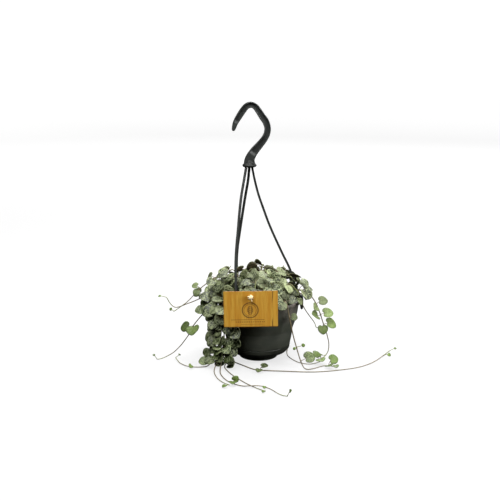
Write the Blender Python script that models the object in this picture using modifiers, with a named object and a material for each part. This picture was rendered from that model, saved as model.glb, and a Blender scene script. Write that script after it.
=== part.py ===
"""A potted string of hearts in its hanging pot.

A black pot on its saucer is filled with soil and carries a three-strand hanger
with an open hook, and a wooden tag on a twine tie. Every vine is one solid: a
stem with its petioles and its opposite pairs of heart-shaped leaves.

Metres, +Z up, and the vines' routes in millimetres. The origin is the centre of
the saucer's flat underside. The front is -Y.
"""

import math

import bmesh
import bpy
import numpy as np
from mathutils import Matrix, Vector
from mathutils.bvhtree import BVHTree

MM = 0.001
GAP = 0.0003
ROUND_STEPS = 24

# Pot and saucer
RIM_RADIUS = 0.0602
RIM_INNER_RADIUS = 0.0578
RIM_Z = 0.087
RIM_BAND = 0.0042
WALL = 0.0013
FLOOR_Z = 0.0096
SEAM_Z = 0.0202
SEAM_RADIUS = 0.0461
SPIGOT_IN = 0.0030
FOOT_RADIUS = 0.0278
SAUCER_WALL = 0.0016
DRAIN_HOLES = 5
DRAIN_RADIUS = 0.0035
DRAIN_CIRCLE = 0.024

# Soil
SOIL_Z = 0.079
SOIL_CROWN = 0.0015
HOLE_RADIUS = 0.0021
HOLE_DEPTH = 0.0075

# Hanger
HOOK_THICKNESS = 0.0086
HOOK_WEB = 0.0036
HOOK_FLANGE = 0.0016
COLLAR_CENTRE = (-0.0130, 0.0)
COLLAR_Z = 0.2768
COLLAR_RADIUS = 0.0100
STRAND_RADIUS = 0.00155
STRAND_SIDES = 7
CLIP_WIDTH = 0.0090
SEAT_Z = 0.3596
SEAT_HALF = 0.0030
BAR_STEP = 0.0072

# Tag and tie
TAG_WIDTH = 0.0745
TAG_HEIGHT = 0.0520
TAG_THICKNESS = 0.0015
TAG_CENTRE = (-0.0112, -0.0735, 0.0915)
TAG_ROLL = math.radians(-0.9)
TAG_LEAN = math.radians(3.0)
TAG_HOLE_RADIUS = 0.0021
TAG_HOLE_DROP = 0.0080
TWINE_RADIUS = 0.0009

# Vines
STEM_RADIUS = 0.00080
STEM_SIDES = 3
PETIOLE_RADIUS = 0.00055
BLADE_THICKNESS = 0.0008
CLEAR = 0.00035
STEM_STEP = 0.003
STEM_SLACK = 0.0011
ROOT_Z = 73.0
GROUND = 0.95
TRIES = 120
SEED = 5977
TOP_FACES = np.array([0.0, -0.0015, 0.0])
MOUND_RISE = np.array([0.0, 0.0, 0.75])
TOWARDS_FRONT = np.array([0.0, -0.80, 0.60])
FRONT_SHARE = 1.3

# Blade outline: angles from the tip on one half, in degrees, then the neck's two corners
LARGE_HALF = (42.0, 92.0, 145.0)
SMALL_HALF = (68.0, 143.0)
LARGE_BLADE = 0.0162
STALK_LINE = 0.55
TIP_REACH = 0.16
NOTCH_DEPTH = 0.46
NECK_HALF = 0.00045
ROOT_TAPER = 0.58
BLADE_SPAN = 2.03
NECK_AT = 0.54
FOLD = 0.16
ARCH = 0.10


# Scene and collections


def clear_scene():
    for obj in list(bpy.data.objects):
        bpy.data.objects.remove(obj, do_unlink=True)


def new_collection(name, parent):
    made = bpy.data.collections.new(name)
    parent.children.link(made)
    return made


def finish(name, color, roughness, specular=0.5):
    made = bpy.data.materials.new(name)
    made.use_nodes = True
    shader = made.node_tree.nodes["Principled BSDF"]
    shader.inputs["Base Color"].default_value = (*color, 1.0)
    shader.inputs["Roughness"].default_value = roughness
    shader.inputs["Metallic"].default_value = 0.0
    shader.inputs["Specular IOR Level"].default_value = specular
    return made


def add_object(name, data, collection, material=None):
    made = bpy.data.objects.new(name, data)
    collection.objects.link(made)
    if material is not None:
        data.materials.append(material)
    return made


def round_shading(obj, degrees=35.0):
    obj.data.shade_smooth()
    obj.data.set_sharp_from_angle(angle=math.radians(degrees))


def helper(obj):
    """Marks an object that only cuts or joins."""
    obj.hide_render = True
    obj.display_type = "WIRE"
    return obj


def turned(name, profile, collection, material=None, steps=ROUND_STEPS):
    """A profile of (radius, height) points carried round Z, from the axis to the axis."""
    data = bpy.data.meshes.new(name)
    points = [(r, 0.0, z) for r, z in profile]
    edges = [(i, i + 1) for i in range(len(points) - 1)]
    data.from_pydata(points, edges, [])
    made = add_object(name, data, collection, material)
    screw = made.modifiers.new("turn", "SCREW")
    screw.steps = steps
    screw.render_steps = steps
    screw.use_merge_vertices = True
    screw.merge_threshold = 1e-5
    screw.use_smooth_shade = True
    return made


def as_mesh(obj):
    """The object as a plain mesh with its modifiers applied, in its own place. A curve's caps are welded."""
    graph = bpy.context.evaluated_depsgraph_get()
    data = bpy.data.meshes.new_from_object(obj.evaluated_get(graph))
    if obj.type == "CURVE":
        welded = bmesh.new()
        welded.from_mesh(data)
        bmesh.ops.remove_doubles(welded, verts=welded.verts, dist=1e-6)
        bmesh.ops.recalc_face_normals(welded, faces=welded.faces)
        welded.to_mesh(data)
        welded.free()
    name = obj.name
    collection = obj.users_collection[0]
    made = bpy.data.objects.new(name + "_mesh", data)
    collection.objects.link(made)
    made.matrix_world = obj.matrix_world.copy()
    made.hide_render = obj.hide_render
    made.display_type = obj.display_type
    bpy.data.objects.remove(obj, do_unlink=True)
    made.name = name
    return made


def joined(base, pieces, solver="EXACT"):
    """The base with a collection of pieces united to it. The pieces are then removed."""
    union = base.modifiers.new("join", "BOOLEAN")
    union.operation = "UNION"
    union.operand_type = "COLLECTION"
    union.collection = pieces
    union.solver = solver
    made = as_mesh(base)
    for piece in list(pieces.objects):
        bpy.data.objects.remove(piece, do_unlink=True)
    bpy.data.collections.remove(pieces)
    return made


def cut(obj, cutters):
    """A live Boolean that takes a collection of cutters from the object."""
    difference = obj.modifiers.new("cut", "BOOLEAN")
    difference.operation = "DIFFERENCE"
    difference.operand_type = "COLLECTION"
    difference.collection = cutters
    difference.solver = "EXACT"


def cylinder(name, radius, depth, centre, collection, sides=12):
    shape = bmesh.new()
    bmesh.ops.create_cone(
        shape, cap_ends=True, segments=sides, radius1=radius, radius2=radius, depth=depth
    )
    data = bpy.data.meshes.new(name)
    shape.to_mesh(data)
    shape.free()
    made = add_object(name, data, collection)
    made.location = centre
    return made


def tube(name, path, radius, collection, material=None, section=None):
    """A bar along a path, as a poly curve with filled caps: four-sided, or of the section that is given."""
    data = bpy.data.curves.new(name, "CURVE")
    data.dimensions = "3D"
    line = data.splines.new("POLY")
    line.points.add(len(path) - 1)
    for point, place in zip(line.points, path):
        point.co = (*place, 1.0)
    data.bevel_depth = radius
    data.bevel_resolution = 0
    if section:
        data.bevel_mode = "OBJECT"
        data.bevel_object = section
    data.use_fill_caps = True
    return add_object(name, data, collection, material)


def ring_section(name, radius, sides, collection):
    """A closed ring of few sides, as the section of a stem."""
    data = bpy.data.curves.new(name, "CURVE")
    data.dimensions = "2D"
    line = data.splines.new("POLY")
    line.points.add(sides - 1)
    for i, point in enumerate(line.points):
        turn = 2 * math.pi * i / sides
        point.co = (radius * math.cos(turn), radius * math.sin(turn), 0.0, 1.0)
    line.use_cyclic_u = True
    return helper(add_object(name, data, collection))


def flat_outline(name, outline, thickness, collection, material=None):
    """A flat closed outline in the curve's own XY plane, with a thickness."""
    data = bpy.data.curves.new(name, "CURVE")
    data.dimensions = "2D"
    line = data.splines.new("POLY")
    line.points.add(len(outline) - 1)
    for point, place in zip(line.points, outline):
        point.co = (place[0], place[1], 0.0, 1.0)
    line.use_cyclic_u = True
    data.fill_mode = "BOTH"
    data.extrude = thickness / 2
    return add_object(name, data, collection, material)


# Paths


def polar(azimuth, radius, height):
    """A point in millimetres by its azimuth in degrees, from +X towards +Y."""
    turn = math.radians(azimuth)
    return (radius * math.cos(turn), radius * math.sin(turn), height)


def even_steps(points, spacing):
    lengths = np.linalg.norm(np.diff(points, axis=0), axis=1)
    run = np.concatenate([[0.0], np.cumsum(lengths)])
    count = max(int(round(run[-1] / spacing)), 3) + 1
    at = np.linspace(0.0, run[-1], count)
    return np.column_stack([np.interp(at, run, points[:, k]) for k in range(3)])


def smooth_path(points, spacing):
    """A smooth curve through the points, read at even steps."""
    inner = np.asarray(points, float)
    ends = np.vstack([2 * inner[0] - inner[1], inner, 2 * inner[-1] - inner[-2]])
    t = np.linspace(0.0, 1.0, 12, endpoint=False)[:, None]
    pieces = []
    for a, b, c, d in zip(ends[:-3], ends[1:-2], ends[2:-1], ends[3:]):
        bend = 2 * a - 5 * b + 4 * c - d
        twist = 3 * b - a - 3 * c + d
        pieces.append(0.5 * (2 * b + (c - a) * t + bend * t**2 + twist * t**3))
    return even_steps(np.vstack([*pieces, inner[-1:]]), spacing)


def thinned(path, slack):
    """The path with only the points it needs to stay within the slack of its full line."""
    run = path[-1] - path[0]
    share = ((path - path[0]) @ run) / max(run @ run, 1e-12)
    off = np.linalg.norm(path - path[0] - share[:, None] * run, axis=1)
    worst = int(off.argmax())
    if off[worst] < slack or len(path) < 3:
        return path[[0, -1]]
    return np.vstack([thinned(path[: worst + 1], slack)[:-1], thinned(path[worst:], slack)])


def stem_path(route):
    """The line of a stem, with few points where it runs straight."""
    return thinned(smooth_path(route, STEM_STEP), STEM_SLACK)


def unit(vector):
    return vector / max(np.linalg.norm(vector), 1e-9)


# Pot, saucer and soil


def pot_outside():
    """Radius and height down the pot's outer side, from the rim band to the seam."""
    return [
        (RIM_RADIUS, RIM_Z - 0.0010),
        (RIM_RADIUS, RIM_Z - RIM_BAND),
        (RIM_RADIUS - 0.0015, RIM_Z - RIM_BAND - 0.0006),
        (0.0569, 0.0690),
        (0.0536, 0.0550),
        (0.0498, 0.0440),
        (0.0483, 0.0320),
        (SEAM_RADIUS, SEAM_Z + GAP),
    ]


def make_pot(collection, cutters, material):
    spigot = SEAM_RADIUS - SPIGOT_IN
    inner_wall = [(r - WALL, z) for r, z in reversed(pot_outside()[3:-1])]
    profile = [
        (0.0, FLOOR_Z + WALL),
        (0.0328, FLOOR_Z + WALL),
        (0.0398, 0.0160),
        *inner_wall,
        (RIM_INNER_RADIUS, RIM_Z - RIM_BAND - 0.0006),
        (RIM_INNER_RADIUS, RIM_Z),
        (RIM_RADIUS - 0.0009, RIM_Z),
        *pot_outside(),
        (spigot, SEAM_Z + GAP),
        (spigot - 0.0016, 0.0150),
        (0.0335, FLOOR_Z),
        (0.0, FLOOR_Z),
    ]
    pot = turned("pot", profile, collection, material)
    holes = new_collection("drain hole cutters", cutters)
    for i in range(DRAIN_HOLES):
        turn = 2 * math.pi * i / DRAIN_HOLES
        centre = (DRAIN_CIRCLE * math.cos(turn), DRAIN_CIRCLE * math.sin(turn), FLOOR_Z)
        helper(cylinder(f"drain_hole_cutter_{i + 1}", DRAIN_RADIUS, 0.008, centre, holes))
    cut(pot, holes)
    return pot


def make_saucer(collection, material):
    inner = SEAM_RADIUS - SAUCER_WALL
    profile = [
        (0.0, 0.0018),
        (0.0252, 0.0018),
        (0.0270, 0.0066),
        (0.0360, 0.0088),
        (0.0414, 0.0122),
        (inner, SEAM_Z),
        (SEAM_RADIUS, SEAM_Z),
        (SEAM_RADIUS - 0.0008, 0.0146),
        (0.0418, 0.0102),
        (0.0362, 0.0071),
        (FOOT_RADIUS + 0.0010, 0.0051),
        (FOOT_RADIUS, 0.0),
        (0.0, 0.0),
    ]
    return turned("saucer", profile, collection, material)


def make_soil(collection, cutters, material, roots):
    """The soil plug, with a plain blind hole for each stem."""
    wall = WALL + GAP + 0.0002
    side = [(r - wall, z) for r, z in pot_outside()[3:-1]]
    profile = [
        (0.0, FLOOR_Z + WALL + GAP),
        (0.0316, FLOOR_Z + WALL + GAP),
        (0.0385, 0.0165),
        *reversed(side),
        (side[0][0] + 0.0006, 0.0765),
        (0.0300, SOIL_Z),
        (0.0, SOIL_Z + SOIL_CROWN),
    ]
    soil = turned("soil", profile[::-1], collection, material, steps=24)
    holes = new_collection("stem hole cutters", cutters)
    for i, (x, y) in enumerate(roots):
        centre = (x, y, SOIL_Z + 0.004 - HOLE_DEPTH / 2)
        name = f"stem_hole_cutter_{i + 1}"
        helper(cylinder(name, HOLE_RADIUS, HOLE_DEPTH + 0.008, centre, holes, sides=4))
    cut(soil, holes)
    return soil


# Hanger


# The middle line of the hook's bar as X and Z, with its half width, in millimetres
HOOK_LINE = (
    (-35.9, 327.2, 1.7),
    (-34.6, 331.6, 2.9),
    (-32.4, 338.6, 3.7),
    (-27.3, 347.5, 4.3),
    (-21.4, 356.3, 4.4),
    (-16.9, 361.3, 4.2),
    (-11.2, 363.4, 4.1),
    (-5.6, 361.3, 4.1),
    (-1.2, 356.0, 4.3),
    (4.1, 347.9, 4.6),
    (9.4, 340.2, 4.7),
    (12.1, 331.5, 4.5),
    (11.1, 323.3, 4.4),
    (7.2, 315.6, 4.5),
    (0.6, 307.4, 5.0),
    (-5.8, 299.8, 5.6),
    (-10.8, 292.2, 6.3),
    (-13.0, 286.0, 7.2),
    (-13.0, 279.5, 8.6),
)
POCKET_FROM, POCKET_TO = 0.11, 0.86


def bar_outline(line, inset, start, stop):
    """A closed outline at both sides of a middle line, set in from the bar's edges."""
    middle = smooth_path(line, BAR_STEP)
    first, last = int(start * len(middle)), int(math.ceil(stop * len(middle)))
    direction = np.gradient(middle[:, :2], axis=0)
    direction /= np.linalg.norm(direction, axis=1)[:, None]
    across = np.column_stack([-direction[:, 1], direction[:, 0]])
    half = (middle[:, 2] - inset)[:, None]
    left = (middle[:, :2] + across * half)[first:last]
    right = (middle[:, :2] - across * half)[first:last]
    return np.vstack([left, right[::-1]])


def stand_up(obj, place_y):
    """Turns a flat outline drawn in XY up into the XZ plane."""
    obj.rotation_euler = (math.pi / 2, 0.0, 0.0)
    obj.location = (0.0, place_y, 0.0)
    bpy.context.view_layer.update()
    return obj


def make_hook(collection, cutters, material):
    line = MM * np.array(HOOK_LINE)
    outline = bar_outline(line, 0.0, 0.0, 1.0)
    bar = as_mesh(stand_up(flat_outline("hanger_hook", outline, HOOK_THICKNESS, collection), 0.0))
    pieces = new_collection("hook pieces", cutters)
    x, y = COLLAR_CENTRE
    collar = [
        (0.0, COLLAR_Z + 0.0105),
        (0.0052, COLLAR_Z + 0.0100),
        (0.0068, COLLAR_Z + 0.0060),
        (COLLAR_RADIUS - 0.0008, COLLAR_Z + 0.0040),
        (COLLAR_RADIUS, COLLAR_Z + 0.0030),
        (COLLAR_RADIUS - 0.0002, COLLAR_Z + 0.0012),
        (COLLAR_RADIUS - 0.0022, COLLAR_Z),
        (0.0, COLLAR_Z),
    ]
    ring = turned("collar", collar, pieces, steps=20)
    ring.location = (x, y, 0.0)
    hook = joined(bar, pieces)
    hook.data.materials.clear()
    hook.data.materials.append(material)
    pockets = new_collection("hook pocket cutters", cutters)
    pocket = bar_outline(line, HOOK_FLANGE, POCKET_FROM, POCKET_TO)
    depth = HOOK_THICKNESS
    for name, side in (("front", -1.0), ("back", 1.0)):
        shape = flat_outline(f"hook_pocket_{name}", pocket, depth, pockets)
        stand_up(shape, side * (HOOK_WEB + depth) / 2)
        helper(as_mesh(shape))
    seat = bmesh.new()
    bmesh.ops.create_cube(seat, size=1.0)
    data = bpy.data.meshes.new("hook_seat_cutter")
    seat.to_mesh(data)
    seat.free()
    flat = helper(add_object("hook_seat_cutter", data, pockets))
    flat.scale = (2 * SEAT_HALF, 0.02, 0.004)
    flat.location = (line[6][0], 0.0, SEAT_Z - 0.002)
    cut(hook, pockets)
    return hook


# Strands from under the collar to the rim, in millimetres
STRAND_ROUTES = (
    (
        (-9.3, 0.6, 276.4),
        (-5.8, 0.4, 259.0),
        (-0.7, 0.2, 239.0),
        (5.8, 0.0, 220.0),
        (14.5, 0.0, 196.1),
        (24.8, 0.0, 172.4),
        (35.2, 0.0, 150.0),
        (42.7, 0.0, 134.9),
        (48.4, 0.0, 119.8),
        (53.4, 0.0, 103.1),
        (57.4, 0.0, 90.0),
    ),
    (
        (-13.2, 4.6, 276.4),
        (-15.1, 9.9, 256.1),
        (-18.9, 15.5, 233.2),
        (-22.5, 21.1, 209.9),
        (-27.1, 28.7, 178.3),
        (-30.4, 34.5, 154.0),
        (-31.9, 40.8, 130.0),
        (-31.0, 46.6, 108.0),
        (-28.9, 49.9, 90.0),
    ),
    (
        (-17.7, -3.1, 276.4),
        (-20.8, -7.9, 258.9),
        (-24.4, -13.3, 238.1),
        (-26.8, -18.7, 217.4),
        (-29.2, -26.1, 189.9),
        (-31.1, -31.6, 169.1),
        (-32.2, -37.2, 148.7),
        (-32.2, -43.8, 122.0),
        (-31.0, -47.6, 106.0),
        (-28.9, -49.9, 90.0),
    ),
)
CLIP_AZIMUTHS = (0.0, 120.0, 240.0)


def clip_outline():
    """The clip's hooked outline as radius and height: it sits over the rim and hangs down outside it."""
    slot_in = RIM_INNER_RADIUS * math.cos(math.pi / ROUND_STEPS) - GAP - 0.0002
    slot_out = RIM_RADIUS + GAP + 0.0002
    slot_top = RIM_Z + GAP + 0.0001
    return [
        (slot_in, 0.0815),
        (slot_in, slot_top),
        (slot_out, slot_top),
        (slot_out, 0.0728),
        (slot_out + 0.0008, 0.0705),
        (slot_out + 0.0030, 0.0712),
        (slot_out + 0.0036, 0.0740),
        (slot_out + 0.0036, 0.0890),
        (slot_out + 0.0018, 0.0912),
        (slot_in - 0.0012, 0.0912),
        (slot_in - 0.0026, 0.0895),
        (slot_in - 0.0026, 0.0815),
    ]


def make_strand(index, section, collection, cutters, material):
    name = f"hanger_strand_{index + 1}"
    path = smooth_path(MM * np.array(STRAND_ROUTES[index]), 0.0105)
    rod = as_mesh(tube(name, path, STRAND_RADIUS, collection, section=section))
    pieces = new_collection(f"{name} clip", cutters)
    clip = flat_outline(f"{name}_clip", clip_outline(), CLIP_WIDTH, pieces)
    upright = Matrix.Rotation(math.pi / 2, 4, "X")
    clip.matrix_world = Matrix.Rotation(math.radians(CLIP_AZIMUTHS[index]), 4, "Z") @ upright
    bpy.context.view_layer.update()
    as_mesh(clip)
    strand = joined(rod, pieces)
    strand.data.materials.clear()
    strand.data.materials.append(material)
    round_shading(strand)
    return strand


# Tag and tie


def tag_matrix():
    place = Matrix.Translation(Vector(TAG_CENTRE))
    return place @ Matrix.Rotation(TAG_ROLL, 4, "Y") @ Matrix.Rotation(TAG_LEAN, 4, "X")


def make_tag(collection, cutters, material):
    shape = bmesh.new()
    bmesh.ops.create_cube(shape, size=1.0)
    size = Matrix.Diagonal((TAG_WIDTH, TAG_THICKNESS, TAG_HEIGHT, 1.0))
    bmesh.ops.transform(shape, matrix=size, verts=shape.verts)
    data = bpy.data.meshes.new("tag")
    shape.to_mesh(data)
    shape.free()
    tag = add_object("tag", data, collection, material)
    tag.matrix_world = tag_matrix()
    edge = tag.modifiers.new("rounded edges", "BEVEL")
    edge.width = 0.0004
    edge.segments = 2
    holes = new_collection("tag hole cutters", cutters)
    hole = helper(cylinder("tag_hole_cutter", TAG_HOLE_RADIUS, 0.01, (0, 0, 0), holes, sides=16))
    drop = Matrix.Translation((0.0, 0.0, TAG_HEIGHT / 2 - TAG_HOLE_DROP))
    hole.matrix_world = tag_matrix() @ drop @ Matrix.Rotation(math.pi / 2, 4, "X")
    cut(tag, holes)
    return tag


# The twine from the knot through the tag's hole, then round the front strand, in millimetres
TIE_LOOP_RADIUS = 3.15


def tie_route():
    hole = 1000.0 * (tag_matrix() @ Vector((0.0, 0.0, TAG_HEIGHT / 2 - TAG_HOLE_DROP)))
    knot = np.array([hole.x, hole.y, hole.z])
    strand = np.array([-30.7, -48.0, 103.5])
    start = [knot + (0.0, -3.0, 0.0), knot, knot + (-0.6, 3.6, -0.2), knot + (-5.5, 8.2, -2.0)]
    turns = [math.radians(a) for a in (-52, 0, 50, 100, 150, 200)]
    loop = [
        strand + TIE_LOOP_RADIUS * np.array([math.cos(a), math.sin(a), 0.16 * (a - 1.0)])
        for a in turns
    ]
    return [*start, knot + (-13.0, 17.2, -5.4), *loop]


def make_tie(collection, cutters, material):
    route = tie_route()
    cord = as_mesh(tube("tag_tie", smooth_path(MM * np.array(route), 0.0022), TWINE_RADIUS, collection))
    pieces = new_collection("knot pieces", cutters)
    knot = Vector(MM * route[0]) + Vector((0.0, -0.0014, 0.0))
    wraps = ((0.0, 90.0, 0.0), (62.0, 90.0, 20.0), (-58.0, 90.0, -15.0))
    for i, turn in enumerate(wraps):
        ring = bmesh.new()
        data = bpy.data.meshes.new(f"wrap_{i + 1}")
        bmesh.ops.create_icosphere(ring, subdivisions=1, radius=1.0)
        ring.to_mesh(data)
        ring.free()
        wrap = add_object(f"wrap_{i + 1}", data, pieces)
        wrap.rotation_euler = [math.radians(a) for a in turn]
        wrap.scale = (0.0016, 0.0021, 0.0044)
        wrap.location = knot + MM * Vector((0.23 * i - 0.2, 0.17 * i, 0.31 * i - 0.3))
    bpy.context.view_layer.update()
    for wrap in list(pieces.objects):
        as_mesh(wrap)
    tails = (((1.0, -0.6, -2.0), (3.0, -2.2, -6.2)), ((-1.2, -0.4, 1.2), (-3.8, -1.6, 4.6)))
    for i, (near, far) in enumerate(tails):
        path = [knot + MM * Vector(near) * 0.2, knot + MM * Vector(near), knot + MM * Vector(far)]
        tail = tube(f"tail_{i + 1}", smooth_path(path, 0.002), TWINE_RADIUS * 0.9, pieces)
        as_mesh(tail)
    tie = joined(cord, pieces)
    tie.data.materials.clear()
    tie.data.materials.append(material)
    round_shading(tie, 60.0)
    return tie


# Vines: routes


def over_rim(azimuth, root_radius=46.0, height=92.0, out=64.0):
    """From a hole in the soil up, over the rim and just down its outside."""
    return [
        polar(azimuth, root_radius, ROOT_Z),
        polar(azimuth, root_radius + 0.5, 84.0),
        polar(azimuth, 54.0, height),
        polar(azimuth, 61.5, height),
        polar(azimuth, out, height - 9.0),
    ]


def curtain(azimuth, lowest, sway=0.0, root_radius=46.0, height=93.0):
    """A vine that hangs down outside the pot to a height, swaying along the wall."""
    top = over_rim(azimuth, root_radius, height, 65.5)
    drops = [68.0, 50.0, 32.0, 16.0, 5.0]
    tail = [
        polar(azimuth + sway * (i + 1), 66.5 - 1.5 * i, z)
        for i, z in enumerate(drops)
        if z >= lowest
    ]
    return top + tail


def dome(azimuth, root_radius, top, reach, drop):
    """A vine that rises out of the soil and arches outwards over the mound."""
    return [
        polar(azimuth, root_radius, ROOT_Z),
        polar(azimuth, root_radius + 0.5, 86.0),
        polar(azimuth, root_radius + 0.22 * reach, 0.55 * top + 0.45 * 86.0),
        polar(azimuth, root_radius + 0.55 * reach, top),
        polar(azimuth, root_radius + reach, top - drop),
    ]


# The long vines that the view from the front shows. Each has its route in millimetres, then its pairs of
# leaves: where each stands, counted in points of the route, its blades' length and, where a single leaf
# stands there, its side.
TRAILING = {
    "vine_left_arch": (
        [
            polar(190, 28, ROOT_Z),
            polar(190, 29, 92),
            (-38, -9, 112),
            (-56, -18, 123),
            (-73, -20, 114),
            (-87, -20, 102),
            (-100, -20, 88),
            (-110, -20, 80),
            (-121, -20, 72),
        ],
        ((1.6, 17), (2.5, 16), (3.4, 14), (4.7, 12.5), (8, 5, 1)),
    ),
    "vine_left_curl": (
        [
            *over_rim(183, 40, 96, 68)[:-1],
            (-76, -6, 91),
            (-93, -9, 84),
            (-104, -10, 80),
            (-114, -10, 76),
            (-121, -10, 75.5),
            (-127, -10, 81),
            (-132, -10, 90),
        ],
        ((2.2, 17), (3.2, 17), (4.2, 14), (10, 4.5, -1)),
    ),
    "vine_left_fall": (
        [
            *over_rim(197, 44, 93, 68),
            (-75, -21, 73),
            (-85, -20, 62),
            (-94, -20, 50),
            (-100, -20, 38),
            (-106, -20, 29),
            (-113, -20, 20),
            (-122, -20, 11),
            (-132, -21, 5),
            (-140, -22, 1.8),
            (-146, -24, 1.2),
        ],
        ((2.4, 19), (3.6, 19), (4.9, 17), (7, 19), (14, 5, 1)),
    ),
    "vine_left_floor": (
        [
            *over_rim(212, 45, 93, 66),
            (-58, -40, 60),
            (-61, -44, 32),
            (-65, -48, 10),
            (-72, -52, 1.6),
            (-80, -55, GROUND),
            (-92, -55, GROUND),
            (-103, -50, GROUND),
            (-112, -39, GROUND),
            (-117, -26, GROUND),
            (-120, -18, 1.4),
        ],
        ((2.3, 19), (3.3, 20), (4.2, 20), (4.9, 19), (5.6, 17), (6.4, 15), (7.2, 16), (10.2, 9, -1), (14, 4.5, 1)),
    ),
    "vine_front_inner": (
        [
            *over_rim(219, 44, 93, 66),
            (-52, -45.5, 60),
            (-55, -49, 30),
            (-59, -54, 8),
            (-62, -62, 1.4),
            (-62, -76, GROUND),
            (-59, -92, GROUND),
            (-54, -106, GROUND),
            (-47, -117, GROUND),
            (-40, -124, GROUND),
        ],
        ((2.5, 20), (3.4, 20), (4.2, 20), (4.9, 19), (5.6, 17), (6.5, 17), (13, 7, 1)),
    ),
    "vine_front_long": (
        [
            *over_rim(225, 46, 93, 67),
            (-48, -51, 58),
            (-50, -55, 30),
            (-53, -60, 8),
            (-54, -67, 1.4),
            (-53, -82, GROUND),
            (-48, -99, GROUND),
            (-41, -112, GROUND),
            (-33, -121, GROUND),
            (-22, -129, 1.4),
            (-12, -132.5, 3.0),
            (-4, -133, 3.4),
            (4, -132.5, 2.4),
            (11, -135, 1.1),
            (17, -142, GROUND),
            (24, -154, GROUND),
            (30, -161, GROUND),
            (36, -164, GROUND),
        ],
        ((2.2, 20), (3.2, 21), (4.1, 21), (4.8, 20), (5.5, 18), (6.4, 17), (11.6, 11), (16.5, 5, 1), (21, 5, -1)),
    ),
    "vine_front_outer": (
        [
            *over_rim(231, 47, 93, 66),
            (-42, -53, 58),
            (-43.5, -52, 30),
            (-46, -52, 8),
            (-48, -57, 1.6),
            (-44, -70, GROUND),
            (-36, -88, GROUND),
            (-26, -105, GROUND),
            (-17, -119, GROUND),
            (-8, -130, 0.80),
            (0, -139, 0.85),
            (8, -146, GROUND),
        ],
        ((2.4, 20), (3.3, 21), (4.3, 20), (5.1, 21), (6.1, 16), (7, 16), (15, 5, 1)),
    ),
    "vine_longest": (
        [
            *over_rim(175, 44, 93, 65),
            (-63, 4, 62),
            (-61, 1, 34),
            (-57, -5, 10),
            (-51, -15, 1.8),
            (-42, -27, GROUND),
            (-32, -38, GROUND),
            (-22, -49, GROUND),
            (-11, -61, GROUND),
            (-2, -67.5, GROUND),
            (10, -69.5, GROUND),
            (31, -71.5, GROUND),
            (54, -74, GROUND),
            (74, -75, GROUND),
            (96, -72, GROUND),
            (117, -66, GROUND),
            (133, -60, GROUND),
            (148, -51, GROUND),
            (165, -34, GROUND),
            (180, -11, GROUND),
            (193, 11, 1.2),
        ],
        ((2.5, 18), (3.6, 18), (4.7, 17), (5.7, 15), (13.3, 11), (23.2, 7, 1), (24, 5, 1)),
    ),
    "vine_right_floor": (
        [
            *over_rim(57, 44, 92, 65),
            (41, 58, 58),
            (45, 55, 28),
            (46, 44, 6),
            (44, 26, 1.2),
            (42, 8, GROUND),
            (43, -8, GROUND),
            (48, -22, GROUND),
            (57, -36, GROUND),
            (69, -43, GROUND),
            (79, -41, GROUND),
            (88, -33, GROUND),
        ],
        ((2.4, 17), (3.5, 17), (4.8, 14), (15, 13)),
    ),
    "vine_right_straight": (
        [
            *over_rim(308, 46, 93, 66),
            (44, -54, 66),
            (48.5, -55, 46),
            (53.5, -56, 28),
            (58.5, -58, 12),
            (63, -62, 3),
            (68, -64.5, GROUND),
            (77, -61.5, GROUND),
            (90, -51.5, GROUND),
            (99, -50, GROUND),
            (109, -55, 1.3),
        ],
        ((2.3, 17), (3.4, 11, 1), (4.6, 10, -1), (6.9, 5), (8.1, 18, -1), (13, 15), (14, 10, 1)),
    ),
    "vine_right_fall": (
        [
            polar(351, 42, ROOT_Z),
            polar(351, 44, 92),
            (58, -10, 101),
            (70, -12, 97),
            (78, -12, 89),
            (84, -12, 78),
            (88.5, -12, 67),
            (92, -12, 56),
            (96, -12, 44),
            (99.5, -12, 33),
            (102, -12, 21),
            (101, -13, 10),
            (96, -16, 3),
            (90, -20, 1.2),
        ],
        ((1.5, 18), (2.4, 18), (4.9, 15), (6.2, 17), (7.5, 18), (11.8, 5, 1), (13, 9, 1)),
    ),
    "vine_right_short": (
        [
            *over_rim(342, 44, 93, 65),
            (67, -20, 74),
            (73, -19, 65),
            (80, -18, 55),
            (83, -18, 47),
        ],
        ((2.2, 17), (8, 5, 1)),
    ),
}

# Hanging vines round the rim: azimuth, lowest height and sway along the wall, in degrees a drop
CURTAINS = (
    (168, 16, 1.2),
    (204, 5, 1.4),
    (60, 68, 0.5),
    (93, 32, 0.8),
    (43, 68, -0.5),
    (78, 68, -0.6),
    (108, 68, 0.6),
    (150, 32, 0.5),
)

# Vines inside the mound: azimuth, root radius, height of the arch, reach outwards and drop at the end
DOMES = (
    (272, 38, 110, 28, 8),
    (254, 38, 108, 26, 6),
    (264, 20, 123, 32, 10),
    (292, 18, 125, 34, 12),
    (284, 34, 113, 30, 10),
    (330, 32, 114, 34, 12),
    (312, 12, 128, 26, 9),
    (352, 20, 124, 34, 12),
    (34, 22, 121, 36, 14),
    (62, 34, 112, 30, 10),
    (84, 20, 124, 34, 12),
    (118, 26, 119, 32, 12),
    (160, 20, 125, 36, 14),
    (208, 22, 124, 36, 12),
    (296, 8, 133, 18, 3),
    (240, 7, 131, 18, 4),
    (72, 8, 131, 20, 4),
)


def even_pairs(route, first, last, start, spacing):
    """Pairs at an even spacing along a route, with blades that shorten towards its end."""
    lengths = np.linalg.norm(np.diff(np.asarray(route, float), axis=0), axis=1)
    run = np.concatenate([[0.0], np.cumsum(lengths)])
    at = np.append(np.arange(start, run[-1] - 0.5 * spacing, spacing), run[-1])
    return [(float(np.interp(a, run, range(len(run)))), first + (last - first) * a / run[-1]) for a in at]


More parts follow.
